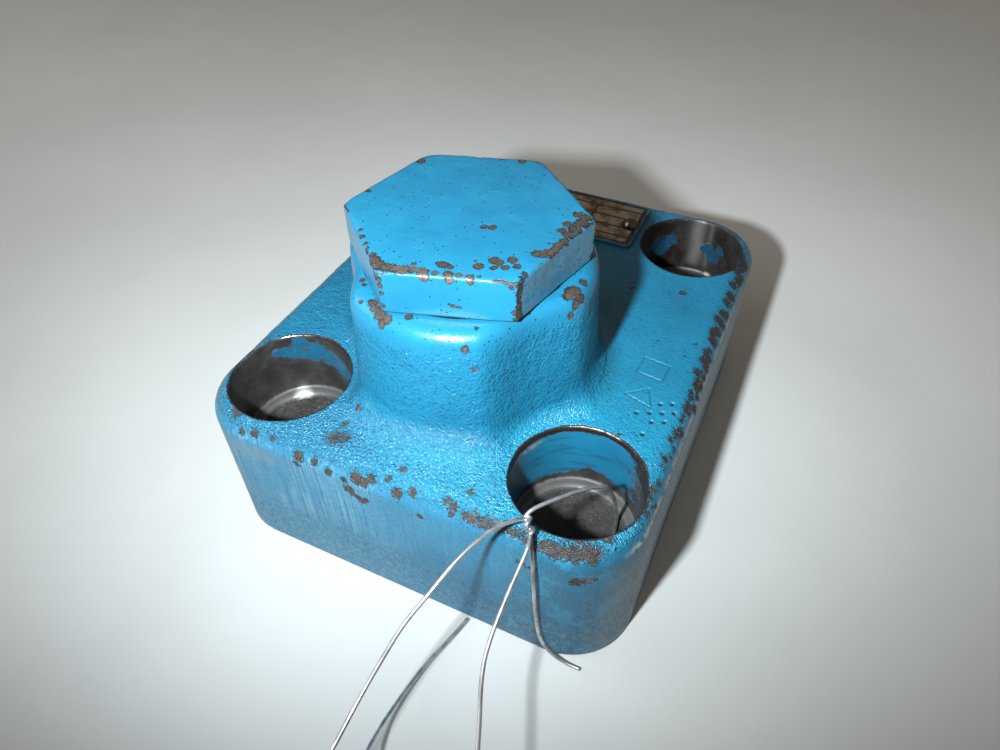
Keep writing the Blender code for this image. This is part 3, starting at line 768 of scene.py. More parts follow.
        # painted shade on paint inside the holes: darker in all of them, most in the left and rear
        # ones, with rings
        inside = self.bare.step(0.0, 0.6)
        painted_hole_shade = inside * self.larger(x.step(-5.0, -8.0), y.step(5.0, 8.0) * 1.5)
        rings = self.noise(1.1, detail=3.0, rough=0.65, stretch=(0.16, 0.16, 1.0))
        return self.layers(
            self.mix(broad.step(0.30, 0.72), PAINT, PAINT_DEEP),
            (mid.step(0.45, 0.8) * 0.25, PAINT_BRIGHT),
            (chalk_and_sheen, PAINT_CHALK_AND_SHEEN),
            (light_streak * 0.62, (0.165, 0.32, 0.42)),
            (dark_streak * 0.62, (0.018, 0.125, 0.235)),
            (shaded * 0.62, (0.010, 0.078, 0.135)),
            (painted_top_light * 0.66, (0.016, 0.270, 0.425)),
            (self.dirt_and_shade, (0.008, 0.055, 0.095)),
            # painted highlight: pale sparkle dots on the rough top in front of the dome
            (self.rough_front * painted_sparkle * 0.46, (0.30, 0.52, 0.60)),
            # painted shade: upright faces darker, most where they are not the block's sides
            (self.mask("painted_upright_shade") * self.mixf(side, 0.21, 0.04), (0.004, 0.070, 0.130)),
            (low_fleck * flecks.step(0.53, 0.64) * 0.75, (0.150, 0.260, 0.320)),
            (scuffed, (0.134, 0.184, 0.218)),
            # a pale line along the right face under the top edge: partly worn paint, partly a
            # painted edge highlight
            (self.mask("line") * small.step(0.38, 0.52), (0.36, 0.365, 0.36)),
            (painted_hole_shade * (0.36 + small.step(0.40, 0.60) * 0.30), (0.012, 0.050, 0.085)),
            (inside * (0.20 + rings.step(0.50, 0.68) * 0.55), (0.010, 0.060, 0.105)),
            (self.rear * inside * 0.5, (0.006, 0.032, 0.068)),
            # painted shade: punched marks and the strip under the hexagon near-black
            (self.mask("mark").step(0.66, 0.86) * 0.9, (0.003, 0.018, 0.030)),
        )

    def iron_colour(self):
        """Iron under the paint: rust, painted shade near the edge of a chip, shiny where polished.
        """
        small, cast = self.small, self.cast
        painted_brink_shade = self.placed.step(self.mixf(cast, 0.40, 0.55), 0.20)
        self.shine = self.mask("polish") * small.step(0.30, 0.55) * self.mixf(cast, 1.0, 0.55)
        right_edge = self.x.step(29.0, 33.0) * self.y.step(-30.0, -22.0)
        return self.layers(
            self.mix(small.step(0.36, 0.66) * self.mixf(cast, 0.35, 1.0), RUST, RUST_LIGHT),
            (painted_brink_shade * 0.85, RUST_DARK),
            (self.speck.step(0.44, 0.36) * cast * 0.8, RUST_DARK),
            (self.fine.step(0.50, 0.66), self.mix(self.grit.step(0.4, 0.7), RUST_DARK, IRON)),
            (right_edge * 0.42, RUST_DARK),
            (self.shine * 0.6, (0.40, 0.37, 0.355)),
        )

    def steel_colour(self):
        """Machined metal: stains, turning marks, hole floors and rusty rims, with painted light
        and sparkle in the deep bores, painted highlights, and painted shade in the right rear
        hole.
        """
        small, stains, z = self.small, self.stains, self.z
        # right rear hole: brown stains, and painted shade darkening its walls
        rear_stain_and_shade = self.mix(stains.step(0.4, 0.6), (0.024, 0.017, 0.014), (0.050, 0.042, 0.038))
        self.deep = z.step(16.2, 15.4) * z.step(0.3, 0.7)
        # painted light: the deep bores are lighter grey where the key light reaches into them, in
        # the front right hole
        lit = self.x.step(5.0, 14.0) * self.y.step(-5.0, -14.0)
        painted_bore_light = self.deep * (0.55 + stains.step(0.3, 0.7) * -0.25) * self.mixf(lit, 0.12, 1.0)
        # painted highlights on hole rims and floors, and a painted reflection band in the right
        # rear hole
        self.painted_glint = self.mask("painted_glint")
        rim_edge = (self.mask("rim") + self.ragged * 0.8).step(0.0, 0.25)
        self.rimmed = rim_edge * (1.0 - self.painted_glint)
        return self.layers(
            self.mix(stains.step(0.36, 0.66), OILY, (0.115, 0.110, 0.105)),
            (self.marks.step(0.45, 0.80) * 0.22, (0.22, 0.215, 0.205)),
            (small.step(0.60, 0.75) * 0.5, (0.085, 0.055, 0.040)),
            (self.seat * 0.75, (0.105, 0.102, 0.098)),
            (self.rear * 0.72, rear_stain_and_shade),
            (painted_bore_light, (0.145, 0.140, 0.135)),
            # painted highlight: bright flecks sparkling in the deep bores
            (self.deep * self.fine.step(0.60, 0.68) * 0.8, (0.36, 0.355, 0.35)),
            (self.painted_glint, (0.85, 0.84, 0.80)),
            (self.deep * small.step(0.50, 0.62) * 0.6, (0.050, 0.045, 0.042)),
            (self.rimmed, self.mix(small.step(0.52, 0.68), RUST_DARK, RUST)),
        )

    def set_surface(self):
        """How metallic and how rough paint, chips and machined metal are."""
        seat, grit, shine = self.seat, self.grit, self.shine
        steel_metal = self.mixf(self.deep, self.mixf(seat, 0.72, 0.40), 0.35)
        steel_metal = self.mixf(self.rimmed, steel_metal, 0.15)
        chip_metal = 0.18 + shine * 0.8 + grit.step(0.55, 0.7) * 0.4
        self.set(Metallic=self.larger(self.metal_area * steel_metal, self.gone * chip_metal))
        paint_rough = (
            self.mixf(self.cast, 0.31, 0.165) + (self.broad - 0.5) * 0.14 + self.side * 0.20
            + (grit - 0.5) * 0.10 + self.dirt_and_shade * 0.3 + self.mask("mark") * 0.35
        )
        chip_rough = 0.62 + shine * -0.36 + (grit - 0.5) * 0.3
        steel_rough = (
            0.42 + self.stains * 0.16 + seat * 0.14 + self.marks * -0.08 + self.painted_glint * -0.2)
        rough = self.mixf(self.gone, paint_rough, chip_rough)
        self.set(Roughness=self.mixf(self.metal_area, rough, steel_rough))

    def set_relief(self):
        """Heights in millimetres."""
        front = self.rough_front
        peel = (
            self.bead * 0.31 * (1.0 + front * 0.8) + self.bead2 * 0.18 * (1.0 + front * 1.0)
            + self.noise(1.7) * 0.16
        )
        smooth_peel = self.noise(2.4) * 0.030 + self.noise(0.6, detail=1.0) * 0.006
        relief = (
            self.mixf(self.cast, smooth_peel, peel)
            + self.ground * (self.streak * 0.040 + self.streak2 * 0.02)
            + self.gone * (-0.075 + self.fine * 0.06 + self.grit * 0.03)
        )
        metal_relief = self.marks * 0.010 + self.noise(0.7, rough=0.6) * 0.006
        self.bump(self.mixf(self.metal_area, relief, metal_relief + -0.03))


# ------------------------------------------------------------------ other materials
def bare_steel(name, base, dark, rough, marks, oil, turned_about=None):
    """Steel with tool marks (wavelength in mm), stains and flecks of old oil (share)."""
    look = Look(name)
    if turned_about is not None:
        x, y, z = look.position()
        from_x, from_y = x - turned_about[0], y - turned_about[1]
        radius = look.math("SQRT", from_x * from_x + from_y * from_y)
        lines = look.noise(marks, rough=0.6, at=look.lengthwise(radius + z * 1.37))
    else:
        lines = look.noise(marks, rough=0.6, stretch=(1.0, 0.06, 1.0))
    stain = look.noise(3.1, detail=4.0, rough=0.62)
    fleck = look.noise(0.35, rough=0.6)
    bright = tuple(min(1, channel * 1.5) for channel in base)
    colour = look.layers(
        look.mix(stain.step(0.35, 0.68), base, dark),
        (lines.step(0.45, 0.75) * 0.35, bright),
        (fleck.step(0.62, 0.72) * oil, (0.05, 0.042, 0.036)),
    )
    look.set(Base_Color=colour, Metallic=0.95, Roughness=rough + stain * 0.12 + lines * -0.06)
    look.bump(lines * 0.006 + fleck * 0.003)
    return look


def nitrile_look():
    look = Look("black_nitrile")
    black = (0.018, 0.018, 0.019)
    grain = look.noise(0.10)
    film = look.noise(2.2, detail=3.0, rough=0.6)
    dusty = tuple(channel * 2.4 for channel in black)
    colour = look.mix(film.step(0.40, 0.70), black, dusty)
    look.set(Base_Color=colour, Roughness=0.42 + film * 0.22)
    look.bump(grain * 0.008 + film * 0.01)
    return look


def ptfe_look():
    look = Look("ptfe_backup")
    film = look.noise(1.6, detail=3.0, rough=0.6)
    colour = look.mix(film.step(0.35, 0.75), (0.80, 0.79, 0.74), (0.66, 0.62, 0.53))
    look.set(Base_Color=colour, Roughness=0.38 + film * 0.2)
    look.bump(look.noise(0.14) * 0.006)
    return look


def plate_look():
    """Tarnished brass with dark ruled lines and blue paint creeping over the edge."""
    look = Look("tarnished_plate_brass")
    etched = look.mask("etched")
    film = look.noise(2.6, detail=4.0, rough=0.65)
    fine_film = look.noise(0.5, detail=3.0, rough=0.6)
    brushed = look.noise(0.14, rough=0.6, stretch=(0.05, 1.0, 1.0))
    field_colour = look.layers(
        look.mix(film.step(0.40, 0.66), (0.46, 0.40, 0.28), (0.15, 0.105, 0.070)),
        (fine_film.step(0.55, 0.72) * 0.7, (0.030, 0.022, 0.018)),
    )
    line_colour = look.mix(film.step(0.40, 0.70), (0.050, 0.036, 0.026), (0.12, 0.09, 0.06))
    painted = (look.mask("inset") + (film - 0.5) * 3.0).step(0.75, 0.35)
    colour = look.layers(
        look.mix(etched, line_colour, field_colour), (painted * 0.75, (0.020, 0.185, 0.33)))
    look.set(
        Base_Color=colour, Metallic=look.mixf(painted, look.mixf(etched, 0.75, 0.30), 0.0),
        Roughness=0.36 + film * 0.2 + etched * 0.12,
    )
    look.bump(brushed * 0.005 + fine_film * 0.012 + etched * -0.03)
    return look


def wire_look():
    look = Look("soft_tie_wire")
    draw = look.noise(0.35, rough=0.6)
    dull = look.noise(2.0, detail=3.0, rough=0.6)
    colour = look.mix(dull.step(0.35, 0.70), (0.60, 0.61, 0.63), (0.33, 0.315, 0.305))
    look.set(Base_Color=colour, Metallic=0.85, Roughness=0.26 + dull * 0.22)
    look.bump(draw * 0.008 + dull * 0.01)
    return look


def floor_look():
    """Pale and blotched, with painted light: lighter toward the rear to even out the key light's
    falloff.
    """
    look = Look("pale_floor")
    blotch = look.noise(60.0, detail=3.0, rough=0.55)
    haze = look.noise(9.0, detail=3.0, rough=0.6)
    y = look.position()[1]
    near = look.mix(blotch.step(0.3, 0.7), (0.625, 0.65, 0.65), (0.585, 0.61, 0.61))
    far = look.mix(blotch.step(0.3, 0.7), (0.80, 0.815, 0.80), (0.76, 0.775, 0.76))
    # painted light: the floor lighter toward the rear, evening out the key light's falloff
    colour = look.mix(y.step(-110.0, 130.0), near, far)
    look.set(Base_Color=colour, Roughness=0.45 + haze * 0.15)
    look.bump(blotch * 0.25 + haze * 0.03)
    return look


# ------------------------------------------------------------------ worn places: (x, y, z, radius)
PLUG_WEAR = [
    # two dots near the middle and the ovals along the front of the top face
    (4.1, -17.7, 57.2, 0.55), (5.2, -17.3, 57.2, 0.66), (3.2, -27.8, 57.2, 0.76),
    (4.3, -27.9, 57.2, 0.5), (2.5, -27.8, 57.2, 0.49), (7.5, -26.2, 57.2, 0.67),
    (6.6, -25.3, 57.2, 0.23), (8.9, -24.2, 57.2, 0.8), (9.7, -24.4, 57.2, 0.67),
    (11, -23.1, 57.2, 0.7), (9.4, -25.7, 57.2, 0.5), (10.8, -25, 57.2, 0.58),
    (12.1, -24.1, 57.2, 0.6),
    # chain along the right-hand edge
    (13.2, -20.5, 57.2, 0.7), (14, -20.2, 57.2, 0.85), (14.7, -19.5, 57.2, 0.95),
    (15.2, -18.4, 57.2, 0.75), (15.2, -17.4, 57.2, 0.75), (15.6, -16.2, 57.1, 0.75),
    (14.2, -13.9, 57.2, 0.65), (14.5, -12.2, 57.2, 0.75), (15.5, -14.6, 57.2, 0.95),
    (15.8, -12.9, 57.1, 1.05), (16.1, -11.2, 57, 1.05), (14.9, -9.3, 57.2, 0.75),
    (16.1, -9.7, 56.9, 0.95), (13.9, -17.6, 57.2, 0.25), (16.6, -9.4, 56.6, 0.6),
    (15.2, -6.6, 57.1, 0.7), (15.6, -5.2, 57, 0.6), (14.9, -3.2, 57.1, 0.5),
    # left edge and the left front corner
    (-11.3, -25.3, 57.2, 0.4), (-10.1, -26.6, 57.2, 0.5), (-8.8, -27.8, 57.1, 0.4),
    (-8, -28.6, 57.1, 0.35), (-6.5, -29.6, 57, 0.55), (-5.6, -30.5, 56.9, 0.9),
    (-4.5, -31.2, 56.7, 1), (-3.4, -31.3, 56.8, 0.95), (-4.4, -31.9, 56, 0.8),
    # the worn front edge
    (-2.2, -31.1, 56.9, 0.95), (-1.1, -30.8, 57, 0.9), (-0.4, -29.1, 57.2, 0.36),
    (0.1, -30.5, 57, 0.72), (1.4, -30.2, 57, 0.85), (1.9, -30.7, 56.8, 0.7),
    (3.1, -29.8, 57, 0.55), (4.7, -29.4, 57, 0.72), (5.1, -29.8, 56.7, 0.6),
    (6.1, -28.9, 57, 0.5), (7.5, -28.7, 56.9, 0.7), (7.7, -28.9, 56.6, 0.55),
    (8.6, -28.1, 57, 0.38), (9.6, -27.9, 56.9, 0.3),
    # the right front corner, top to bottom
    (13.5, -25, 56.8, 0.6), (13.4, -25.8, 56.6, 0.6), (13.6, -26.6, 56, 0.7),
    (13.8, -26.8, 55.2, 0.7), (13.8, -26.9, 54.2, 0.62), (13.8, -26.9, 53, 0.7),
    (13.7, -26.9, 51.8, 0.75), (13.6, -26.8, 50.8, 0.9), (12.8, -27.3, 56.2, 0.44),
    (13.2, -27.3, 52.2, 0.45),
    # left front corner below the top, and a scratch on the front flat
    (-3.8, -32.7, 54.9, 0.45), (-3.8, -32.7, 53.7, 0.4), (-3.8, -32.7, 51.6, 0.4),
    (-3.9, -32.6, 56, 0.5), (4.9, -30.1, 52.8, 0.22), (5.2, -30, 52.65, 0.26),
    (5.6, -29.9, 52.55, 0.28), (6, -29.8, 52.45, 0.26), (6.4, -29.6, 52.4, 0.2),
    # left, rear and lower right
    (-15.9, -16, 57, 0.5), (-16.3, -13, 57, 0.55), (-13.2, -5, 57, 0.8), (-9, -0.6, 57, 0.6),
    (-2, 1.5, 57, 0.9), (1.4, 1.5, 57, 0.7), (7, 1.6, 56.9, 0.6), (-17, -9.8, 56.4, 0.8),
    (3.7, 3.2, 56.4, 1), (-13.6, -2.8, 56.4, 1), (-13.8, -2.7, 53.5, 0.7),
    (3.6, 3.3, 52.5, 0.8), (17.2, -9.4, 53.5, 0.5), (17.2, -9.5, 51.2, 0.7),
    (-17.1, -19.6, 52.2, 0.6), (-15, -24, 51, 0.5),
]
PLUG_POLISH = [
    (-1.2, -31, 56.7, 1.4), (1.4, -30.4, 56.7, 1.5), (4, -29.8, 56.7, 1.5),
    (6.6, -29.1, 56.7, 1.5), (9.4, -28.2, 56.7, 1.3),
]
BODY_WEAR = [
    # dome: under the left front corner of the hexagon, the right, a few spots
    (-6.5, -31.3, 50.3, 0.8), (-4.4, -32.8, 50, 1.2), (-3, -33.2, 49.9, 0.8),
    (-5.7, -32.1, 50.1, 0.8), (-3.8, -33.9, 49.2, 0.7), (-8.4, -31.5, 49.9, 0.45),
    (-10.6, -27.6, 50.3, 0.54), (-9.7, -28.5, 50.3, 0.45), (17.9, -17.6, 50.2, 1.45),
    (17.4, -18.8, 50.2, 0.8), (18.3, -14.8, 50.1, 0.7), (18.5, -19.8, 47.7, 0.6),
    (18.8, -18.8, 49, 0.7), (19, -17.4, 49.2, 0.7), (-0.3, -32, 50.3, 0.6),
    (9, -30.2, 50.1, 0.4), (8.4, -32.6, 48.2, 0.62), (9.5, -32.3, 44.6, 0.44),
    # around the fillet and the left front hole
    (-10.4, -34.5, 30.4, 0.56), (-11.1, -37.3, 29.1, 0.61), (-10.8, -40.2, 29, 1.36),
    (-9.5, -39.7, 29, 0.8), (-9.4, -39.6, 29, 0.82), (-26.1, -44.5, 27.3, 0.6),
    (-28.2, -42.1, 28.9, 1.2), (1.6, -41.3, 29, 0.52), (12.4, -40.6, 29, 0.53),
    # upper front edge, left to right
    (-23.7, -44.2, 27.7, 0.72), (-20.4, -43.9, 28, 0.55), (-12.2, -44.6, 27.1, 0.65),
    (-9.7, -44.9, 26.4, 0.75), (-15.1, -44.6, 27, 0.9), (-15.6, -45, 25.4, 0.58),
    (-5.1, -44.4, 27.3, 0.8), (-2.2, -44, 27.9, 0.79), (-4.6, -44.5, 27.2, 1.03),
    (-3.4, -44.6, 27, 0.87), (-6.2, -45, 24.2, 1.05), (-6.9, -44.9, 26.1, 0.56),
    (-5.4, -45, 23.3, 0.73), (-4.3, -45, 22.6, 0.9), (-3.3, -45, 23.2, 0.57),
    (0.4, -43.3, 28.5, 0.55), (2.3, -44.4, 27.4, 0.85), (4.7, -43.7, 28.2, 0.69),
    (6.2, -45, 24.8, 0.54), (10.1, -43.2, 28.5, 0.68), (11.2, -43.6, 28.3, 0.76),
    (11.1, -44.4, 27.4, 0.53), (13.4, -43.9, 28, 0.75), (14.7, -43.9, 28, 0.97),
    (16.1, -43.9, 28, 1.04), (17.5, -43.8, 28.1, 0.95), (19.1, -43.7, 28.2, 0.85),
    (20.5, -43.7, 28.2, 0.7), (21.9, -43.6, 28.2, 0.8), (22.8, -43.8, 28.1, 0.95),
    (23.6, -44.3, 27.6, 0.8),
    # the big worn patch in front of the right front hole
    (25.4, -43.8, 28.1, 1.1), (26.7, -43.8, 28, 1.37), (28.1, -43.4, 28.3, 1.5),
    (29.5, -43, 28.3, 1.55), (30.8, -42.4, 28.4, 1.5), (31.8, -42.2, 28.1, 1.22),
    (29.3, -41.7, 28.9, 0.65), (31.8, -42.9, 27.5, 0.86), (30.3, -44.3, 23.1, 0.96),
    (31.6, -43.7, 23.3, 0.73), (32.6, -43.2, 23.5, 0.51), (22.2, -45, 23.2, 0.7),
    (24, -45, 23.1, 0.7), (33, -39.4, 28.8, 0.72), (32.5, -39.9, 28.9, 0.5),
    # upper right edge and the top beside it
    (36.2, 19.4, 28.2, 0.68), (36, 22.7, 28.3, 0.52), (36.4, 11.8, 28, 0.99),
    (36.1, 9.2, 28.2, 1.08), (35.6, 7.6, 28.6, 0.81), (36.4, 6, 28, 0.8),
    (36.3, 3.7, 28.1, 0.69), (36.5, 1.9, 27.9, 0.94), (36.5, -0.5, 27.8, 0.88),
    (36.7, -2.6, 27.6, 0.72), (36.9, -4.6, 27.4, 0.51), (27.8, 16.5, 29, 0.68),
    (18.7, 13.9, 29, 0.4), (35.6, 27.7, 28.6, 1), (36.2, 30.8, 28.2, 1.2),
    (36.7, 27.4, 27.7, 0.8), (27.4, 1.6, 29, 0.32), (33.6, 3.5, 29, 0.37),
    (32.7, -0.3, 29, 0.26), (22.4, -10.1, 29.9, 0.25), (36.9, -7.3, 27.4, 0.75),
    (37.1, -9.8, 27, 0.84), (35.5, -29, 28.6, 0.37), (35.5, -34.7, 28.6, 0.42),
    (36.9, -30.8, 27.3, 0.4), (32.8, -24.9, 28.9, 0.41), (28.2, -21.6, 29, 0.47),
    # left and rear sides
    (-37.4, 12, 27.2, 1.3), (-37.2, 14.5, 27.6, 1), (-36.8, -8, 28, 0.9),
    (-37.3, -12, 27, 1.1), (-36.5, 31, 28, 1.4), (-20, 44.6, 27.2, 1.2),
    (-17.8, 44.3, 27.7, 0.9), (4, 44.5, 27.4, 1.1), (16, 44.3, 27.7, 0.9),
    (30.6, 43, 27.6, 1.5), (33.5, 41, 27.8, 1.2), (-33, 41.4, 27.8, 1.3),
    (-30.9, 42.8, 27.4, 1), (12, 45, 14, 0.9), (-37.5, -2, 12, 1),
]
# a chain of small chips along the upper right edge, larger toward the rear
for i in range(47):
    chain_y = -33.0 + 1.42 * i
    chip_size = 0.40 + 0.62 * abs(math.sin(2.4 * i + 0.6))
    BODY_WEAR.append((
        36.15 + 0.55 * math.sin(1.7 * i), chain_y + 0.4 * math.sin(3.1 * i),
        28.25 - 0.35 * math.sin(2.3 * i),
        chip_size * (0.72 + 0.45 * smoothstep(-24.0, -6.0, chain_y)),
    ))
BODY_POLISH = [
    (15, -43.6, 28.3, 1.5), (18, -43.5, 28.4, 1.1), (31.9, -43.4, 23.7, 1),
    (34, -41.2, 27.6, 1.6),
]
SPRAY = [
    # left front hole
    (-33.6, -26.2, 26, 0.9), (-32.9, -25.5, 25.6, 1.1), (-32, -24.7, 25.2, 1.2),
    (-31, -23.9, 24.8, 1.3), (-29.9, -23.2, 24.4, 1.3), (-28.7, -22.7, 24.2, 1.4),
    (-30.4, -23.2, 26.9, 1.6), (-27.7, -22.2, 25.7, 1.9), (-25, -22, 24.4, 2.1),
    (-22.6, -22.5, 22.9, 2.1), (-20, -23.6, 21.6, 1.9), (-18, -25.5, 21, 2),
    (-16.5, -28, 21.4, 1.8), (-15.7, -31, 22.4, 1.6),
    # right rear hole, then left rear hole
    (17.1, 37.5, 22.6, 3), (16, 34.5, 23, 2.4), (19.2, 39.9, 23.5, 2),
    (27.4, 41.8, 22.6, 1.5), (28.9, 41.3, 21, 1.3), (30.1, 40.8, 23.4, 1.1),
    (34.9, 35, 25, 1.6), (-25.5, 22, 23, 3.2), (-18, 25.5, 22, 2.4), (-34.5, 36, 24, 2),
]
# Punched marks in plan: centre-punch dots, and closed shapes whose strokes join their corners.
DOTS = [
    (32.1, -12.9), (33.8, -12.1), (29.2, -16.1), (31.1, -15.3), (32.9, -14.6), (34.6, -13.8),
    (31.9, -17.1), (33.7, -16.3), (31.4, -20.0),
]
SHAPES = [
    [(26.2, -12.8), (31.0, -14.2), (29.6, -10.2)],
    [(26.4, -7.2), (30.9, -7.8), (31.2, -3.9), (26.7, -3.3)],
    [(-30.8, -17.2), (-28.0, -18.0), (-27.0, -15.0), (-29.8, -14.2)],
]
STROKES = [pair for shape in SHAPES for pair in zip(shape, shape[1:] + shape[:1])]
STROKES.append(((-32.6, -15.2), (-31.6, -12.4)))


def worn(points, places):
    """1 at the middle of a place, 0 near its radius, -1 far from every one."""
    best = np.full(len(points), -1.0)
    for x, y, z, radius in places:
        index = np.flatnonzero(np.abs(points[:, 0] - x) < 2.2 * radius + 0.6)
        d = np.sqrt(((points[index] - (x, y, z)) ** 2).sum(1))
        best[index] = np.maximum(best[index], 1 - d / (radius * 1.12))
    return np.clip(best, -1, 1)


def groove(points, start, end, width):
    """1 on the line from start to end in plan, falling to 0 at width."""
    start, end = np.array(start), np.array(end)
    along = end - start
    t = np.clip(((points[:, :2] - start) @ along) / (along @ along), 0, 1)
    off = points[:, :2] - start - t[:, None] * along
    return np.clip(1 - np.linalg.norm(off, axis=1) / width, 0, 1)


# ------------------------------------------------------------------ valve body
def is_marked(at):
    """The parts of the top that carry punched marks."""
    x, y, z = at.T
    right = (x > 25.4) & (x < 35.4) & (y > -21) & (y < -2.6)
    left = (x > -33.3) & (x < -26.3) & (y > -18.8) & (y < -11.6)
    return (right | left) & (z > 28.5)


def is_chipped(at):
    """The marked parts and the worn front edge."""
    x, y, z = at.T
    return is_marked(at) | ((y < -41.0) & (z > 25.2) & (x > -30) & (x < 35.5))


def subdivide(bm, faces, cuts):
    edges = {edge for face in faces for edge in face.edges}
    bmesh.ops.subdivide_edges(bm, edges=list(edges), cuts=cuts, use_grid_fill=True)
    bmesh.ops.triangulate(bm, faces=[face for face in bm.faces if len(face.verts) > 4])


def refined_body_mesh(verts, faces):
    """The body mesh, still in millimetres, cut finer where it carries small detail."""
    rough = quad_mesh("refine", verts, faces)
    bm = bmesh.new()
    bm.from_mesh(rough)
    bpy.data.meshes.remove(rough)
    bm.faces.ensure_lookup_table()
    wanted = (is_chipped)(verts[faces].mean(1))
    subdivide(bm, [bm.faces[i] for i in np.flatnonzero(wanted).tolist()], cuts=2)
    again = [f for f in bm.faces if is_marked(np.array([f.calc_center_median()]))[0]]
    subdivide(bm, again, cuts=1)
    mesh = bpy.data.meshes.new("cast_body")
    bm.to_mesh(mesh)
    bm.free()
    return mesh


def bare_mask(x, y, z, hole_r, axis_r):
    """Positive on machined surfaces: screw holes, axis bore, underside and outlet."""
    upper_bore = np.clip((15.95 - axis_r) / 0.4, -1, 1)
    lower_bore = np.clip((16.6 - axis_r) / 0.5, -1, 1) * (z < 26) * (z > 0.4) - (z > 26) * 1.0
    bare = np.clip((10.14 - hole_r) / 0.16, -1, 1)
    bare = np.maximum(bare, np.where(z > 30, upper_bore, lower_bore))
    bare = np.maximum(bare, np.clip((0.60 - z) / 0.35, -1, 1))
    outlet = (np.hypot(x, y - OUTLET_Y) < 11.0) & (z < 25.5) & (z > 0.4)
    return np.where(outlet, 1.0, bare)


def painted_glint_mask(points, hole_r):
    """Painted highlights: bright spots on hole rims and floors, and a bright reflection band in
    the right rear hole.
    """
    x, y, z = points.T
    painted_glint = np.zeros(len(points))
    for spot_x, spot_y, radius in ((-30.8, -23.7, 3.6), (23.2, -22.6, 3.4), (27.5, -22.2, 1.6)):
        spot = smoothstep(radius, radius * 0.55, np.hypot(x - spot_x, y - spot_y))
        spot = spot * smoothstep(28.62, 28.85, z) * (hole_r < 10.35) * (hole_r > 9.7)
        painted_glint = np.maximum(painted_glint, spot)
    # strength, x, y, fading radius, and the height below which it lies
    for strength, spot_x, spot_y, radius, top in (
        (0.75, -30.7, -25.6, 2.2, 16.9), (0.9, 28.8, 42.0, 1.2, 17.0),
    ):
        spot = strength * smoothstep(radius, 0.4, np.hypot(x - spot_x, y - spot_y))
        painted_glint = np.maximum(painted_glint, spot * (z < top) * (z > 15.3) * (hole_r > 7.4))
    angle = np.degrees(np.arctan2(y - HOLE_Y, x - HOLE_X))
    band = 0.30 * bell((angle - 92.0 - 4.0 * noise(points, 6.0, 31)) / 7.0)
    band = band + 0.16 * bell((angle - 78.0) / 3.0)
    in_hole = (hole_r < 10.4) * (hole_r > 9.5) * (x > 0) * (y > 20)
    return np.maximum(painted_glint, band * in_hole * smoothstep(16.8, 19.0, z))


def rim_and_spray_masks(points, hole_r):
    """The rusty rims of the screw holes, and the paint carried onto machined surfaces."""
    x, y, z = points.T
    in_front_right = np.hypot(x - HOLE_X, y + HOLE_Y) < 10.6
    angle = np.degrees(np.arctan2(y + HOLE_Y, x - HOLE_X))
    right_wall = smoothstep(75, 30, angle) * smoothstep(-130, -80, angle)
    rim = np.where(in_front_right, (z - 27.7 + 3.2 * right_wall) / 0.8, (z - 28.45) / 0.4)
    rim = np.clip(np.where((hole_r < 10.5) & (z > 20), rim, -1), -1, 1)

    band = np.clip(np.minimum((z - 17.4) / 1.6, (27.75 - z) / 0.8), -1, 0.62)
    band = band - 0.80 * right_wall - 0.8 * bell((x - 25.0) / 3.0, (z - 17.6) / 2.0)
    spray = worn(points, SPRAY)
    spray = np.where(in_front_right & (z > 16.8), np.clip(band, -1, 1), spray)
    spray = np.where((z < 16.9) & (z > 0.5), -1, spray)
    from_side = np.minimum(BLOCK_WIDTH / 2 - np.abs(x), BLOCK_DEPTH / 2 - np.abs(y))
    from_side = np.minimum(from_side, 9.0)
    return rim, np.where(z < 0.5, np.clip(0.6 - from_side / 2.2, -1, 1), spray)


def cast_mask(x, y, z, axis_r, side, bare):
    """How rough the skin is: calmer on the sides, the dome's top and away from the right."""
    cast = 1 - 0.62 * side
    dome = 0.12 + 0.88 * smoothstep(DOME_TOP - 1.2, DOME_TOP - 4.6, z)
    cast = np.where((z > 40) & (axis_r < 22), cast * dome, cast)
    calm = smoothstep(18, 40, np.hypot(x - 33, y - 12)) * 0.62 + 0.38
    cast = np.where((z > 28) & (z < 30.5), cast * calm, cast)
    return cast * np.clip(0.5 - bare * 1.2, 0, 1)


def body_wear_mask(points, axis_r, side):
    """The listed chips, and a level that lets the finer noise pepper the edges."""
    x, y, z = points.T
    front_edge = bell((y + 44.0) / 1.6, (z - 27.6) / 1.9) * smoothstep(36.0, 33.0, np.abs(x))
    left_corner = bell((x + 30.0) / 7.0, (y + 41.5) / 3.2) * (z > 24)
    right_edge = bell((x - 36.3) / 1.35, (z - 28.0) / 1.4) * smoothstep(-38, -16, y)
    right_edge = right_edge * (0.95 + 0.9 * noise(points, 3.4, 8))
    right_corner = bell((x - 30.0) / 6.0, (y + 42.0) / 2.6) * (z > 25)
    dome_wall = smoothstep(22.5, 19.5, axis_r) * smoothstep(28, 31, z) * smoothstep(50, 46, z)
    dome_left = dome_wall * smoothstep(-6, -12, x)
    pepper = np.maximum.reduce([
        front_edge, 0.72 * left_corner, 1.22 * right_edge, 0.72 * right_corner, 0.55 * dome_left,
    ])
    wear = worn(points, BODY_WEAR)
    return np.maximum(np.where(side > 0.5, wear, wear * 0.95 - 0.04), -1 + 0.62 * pepper)


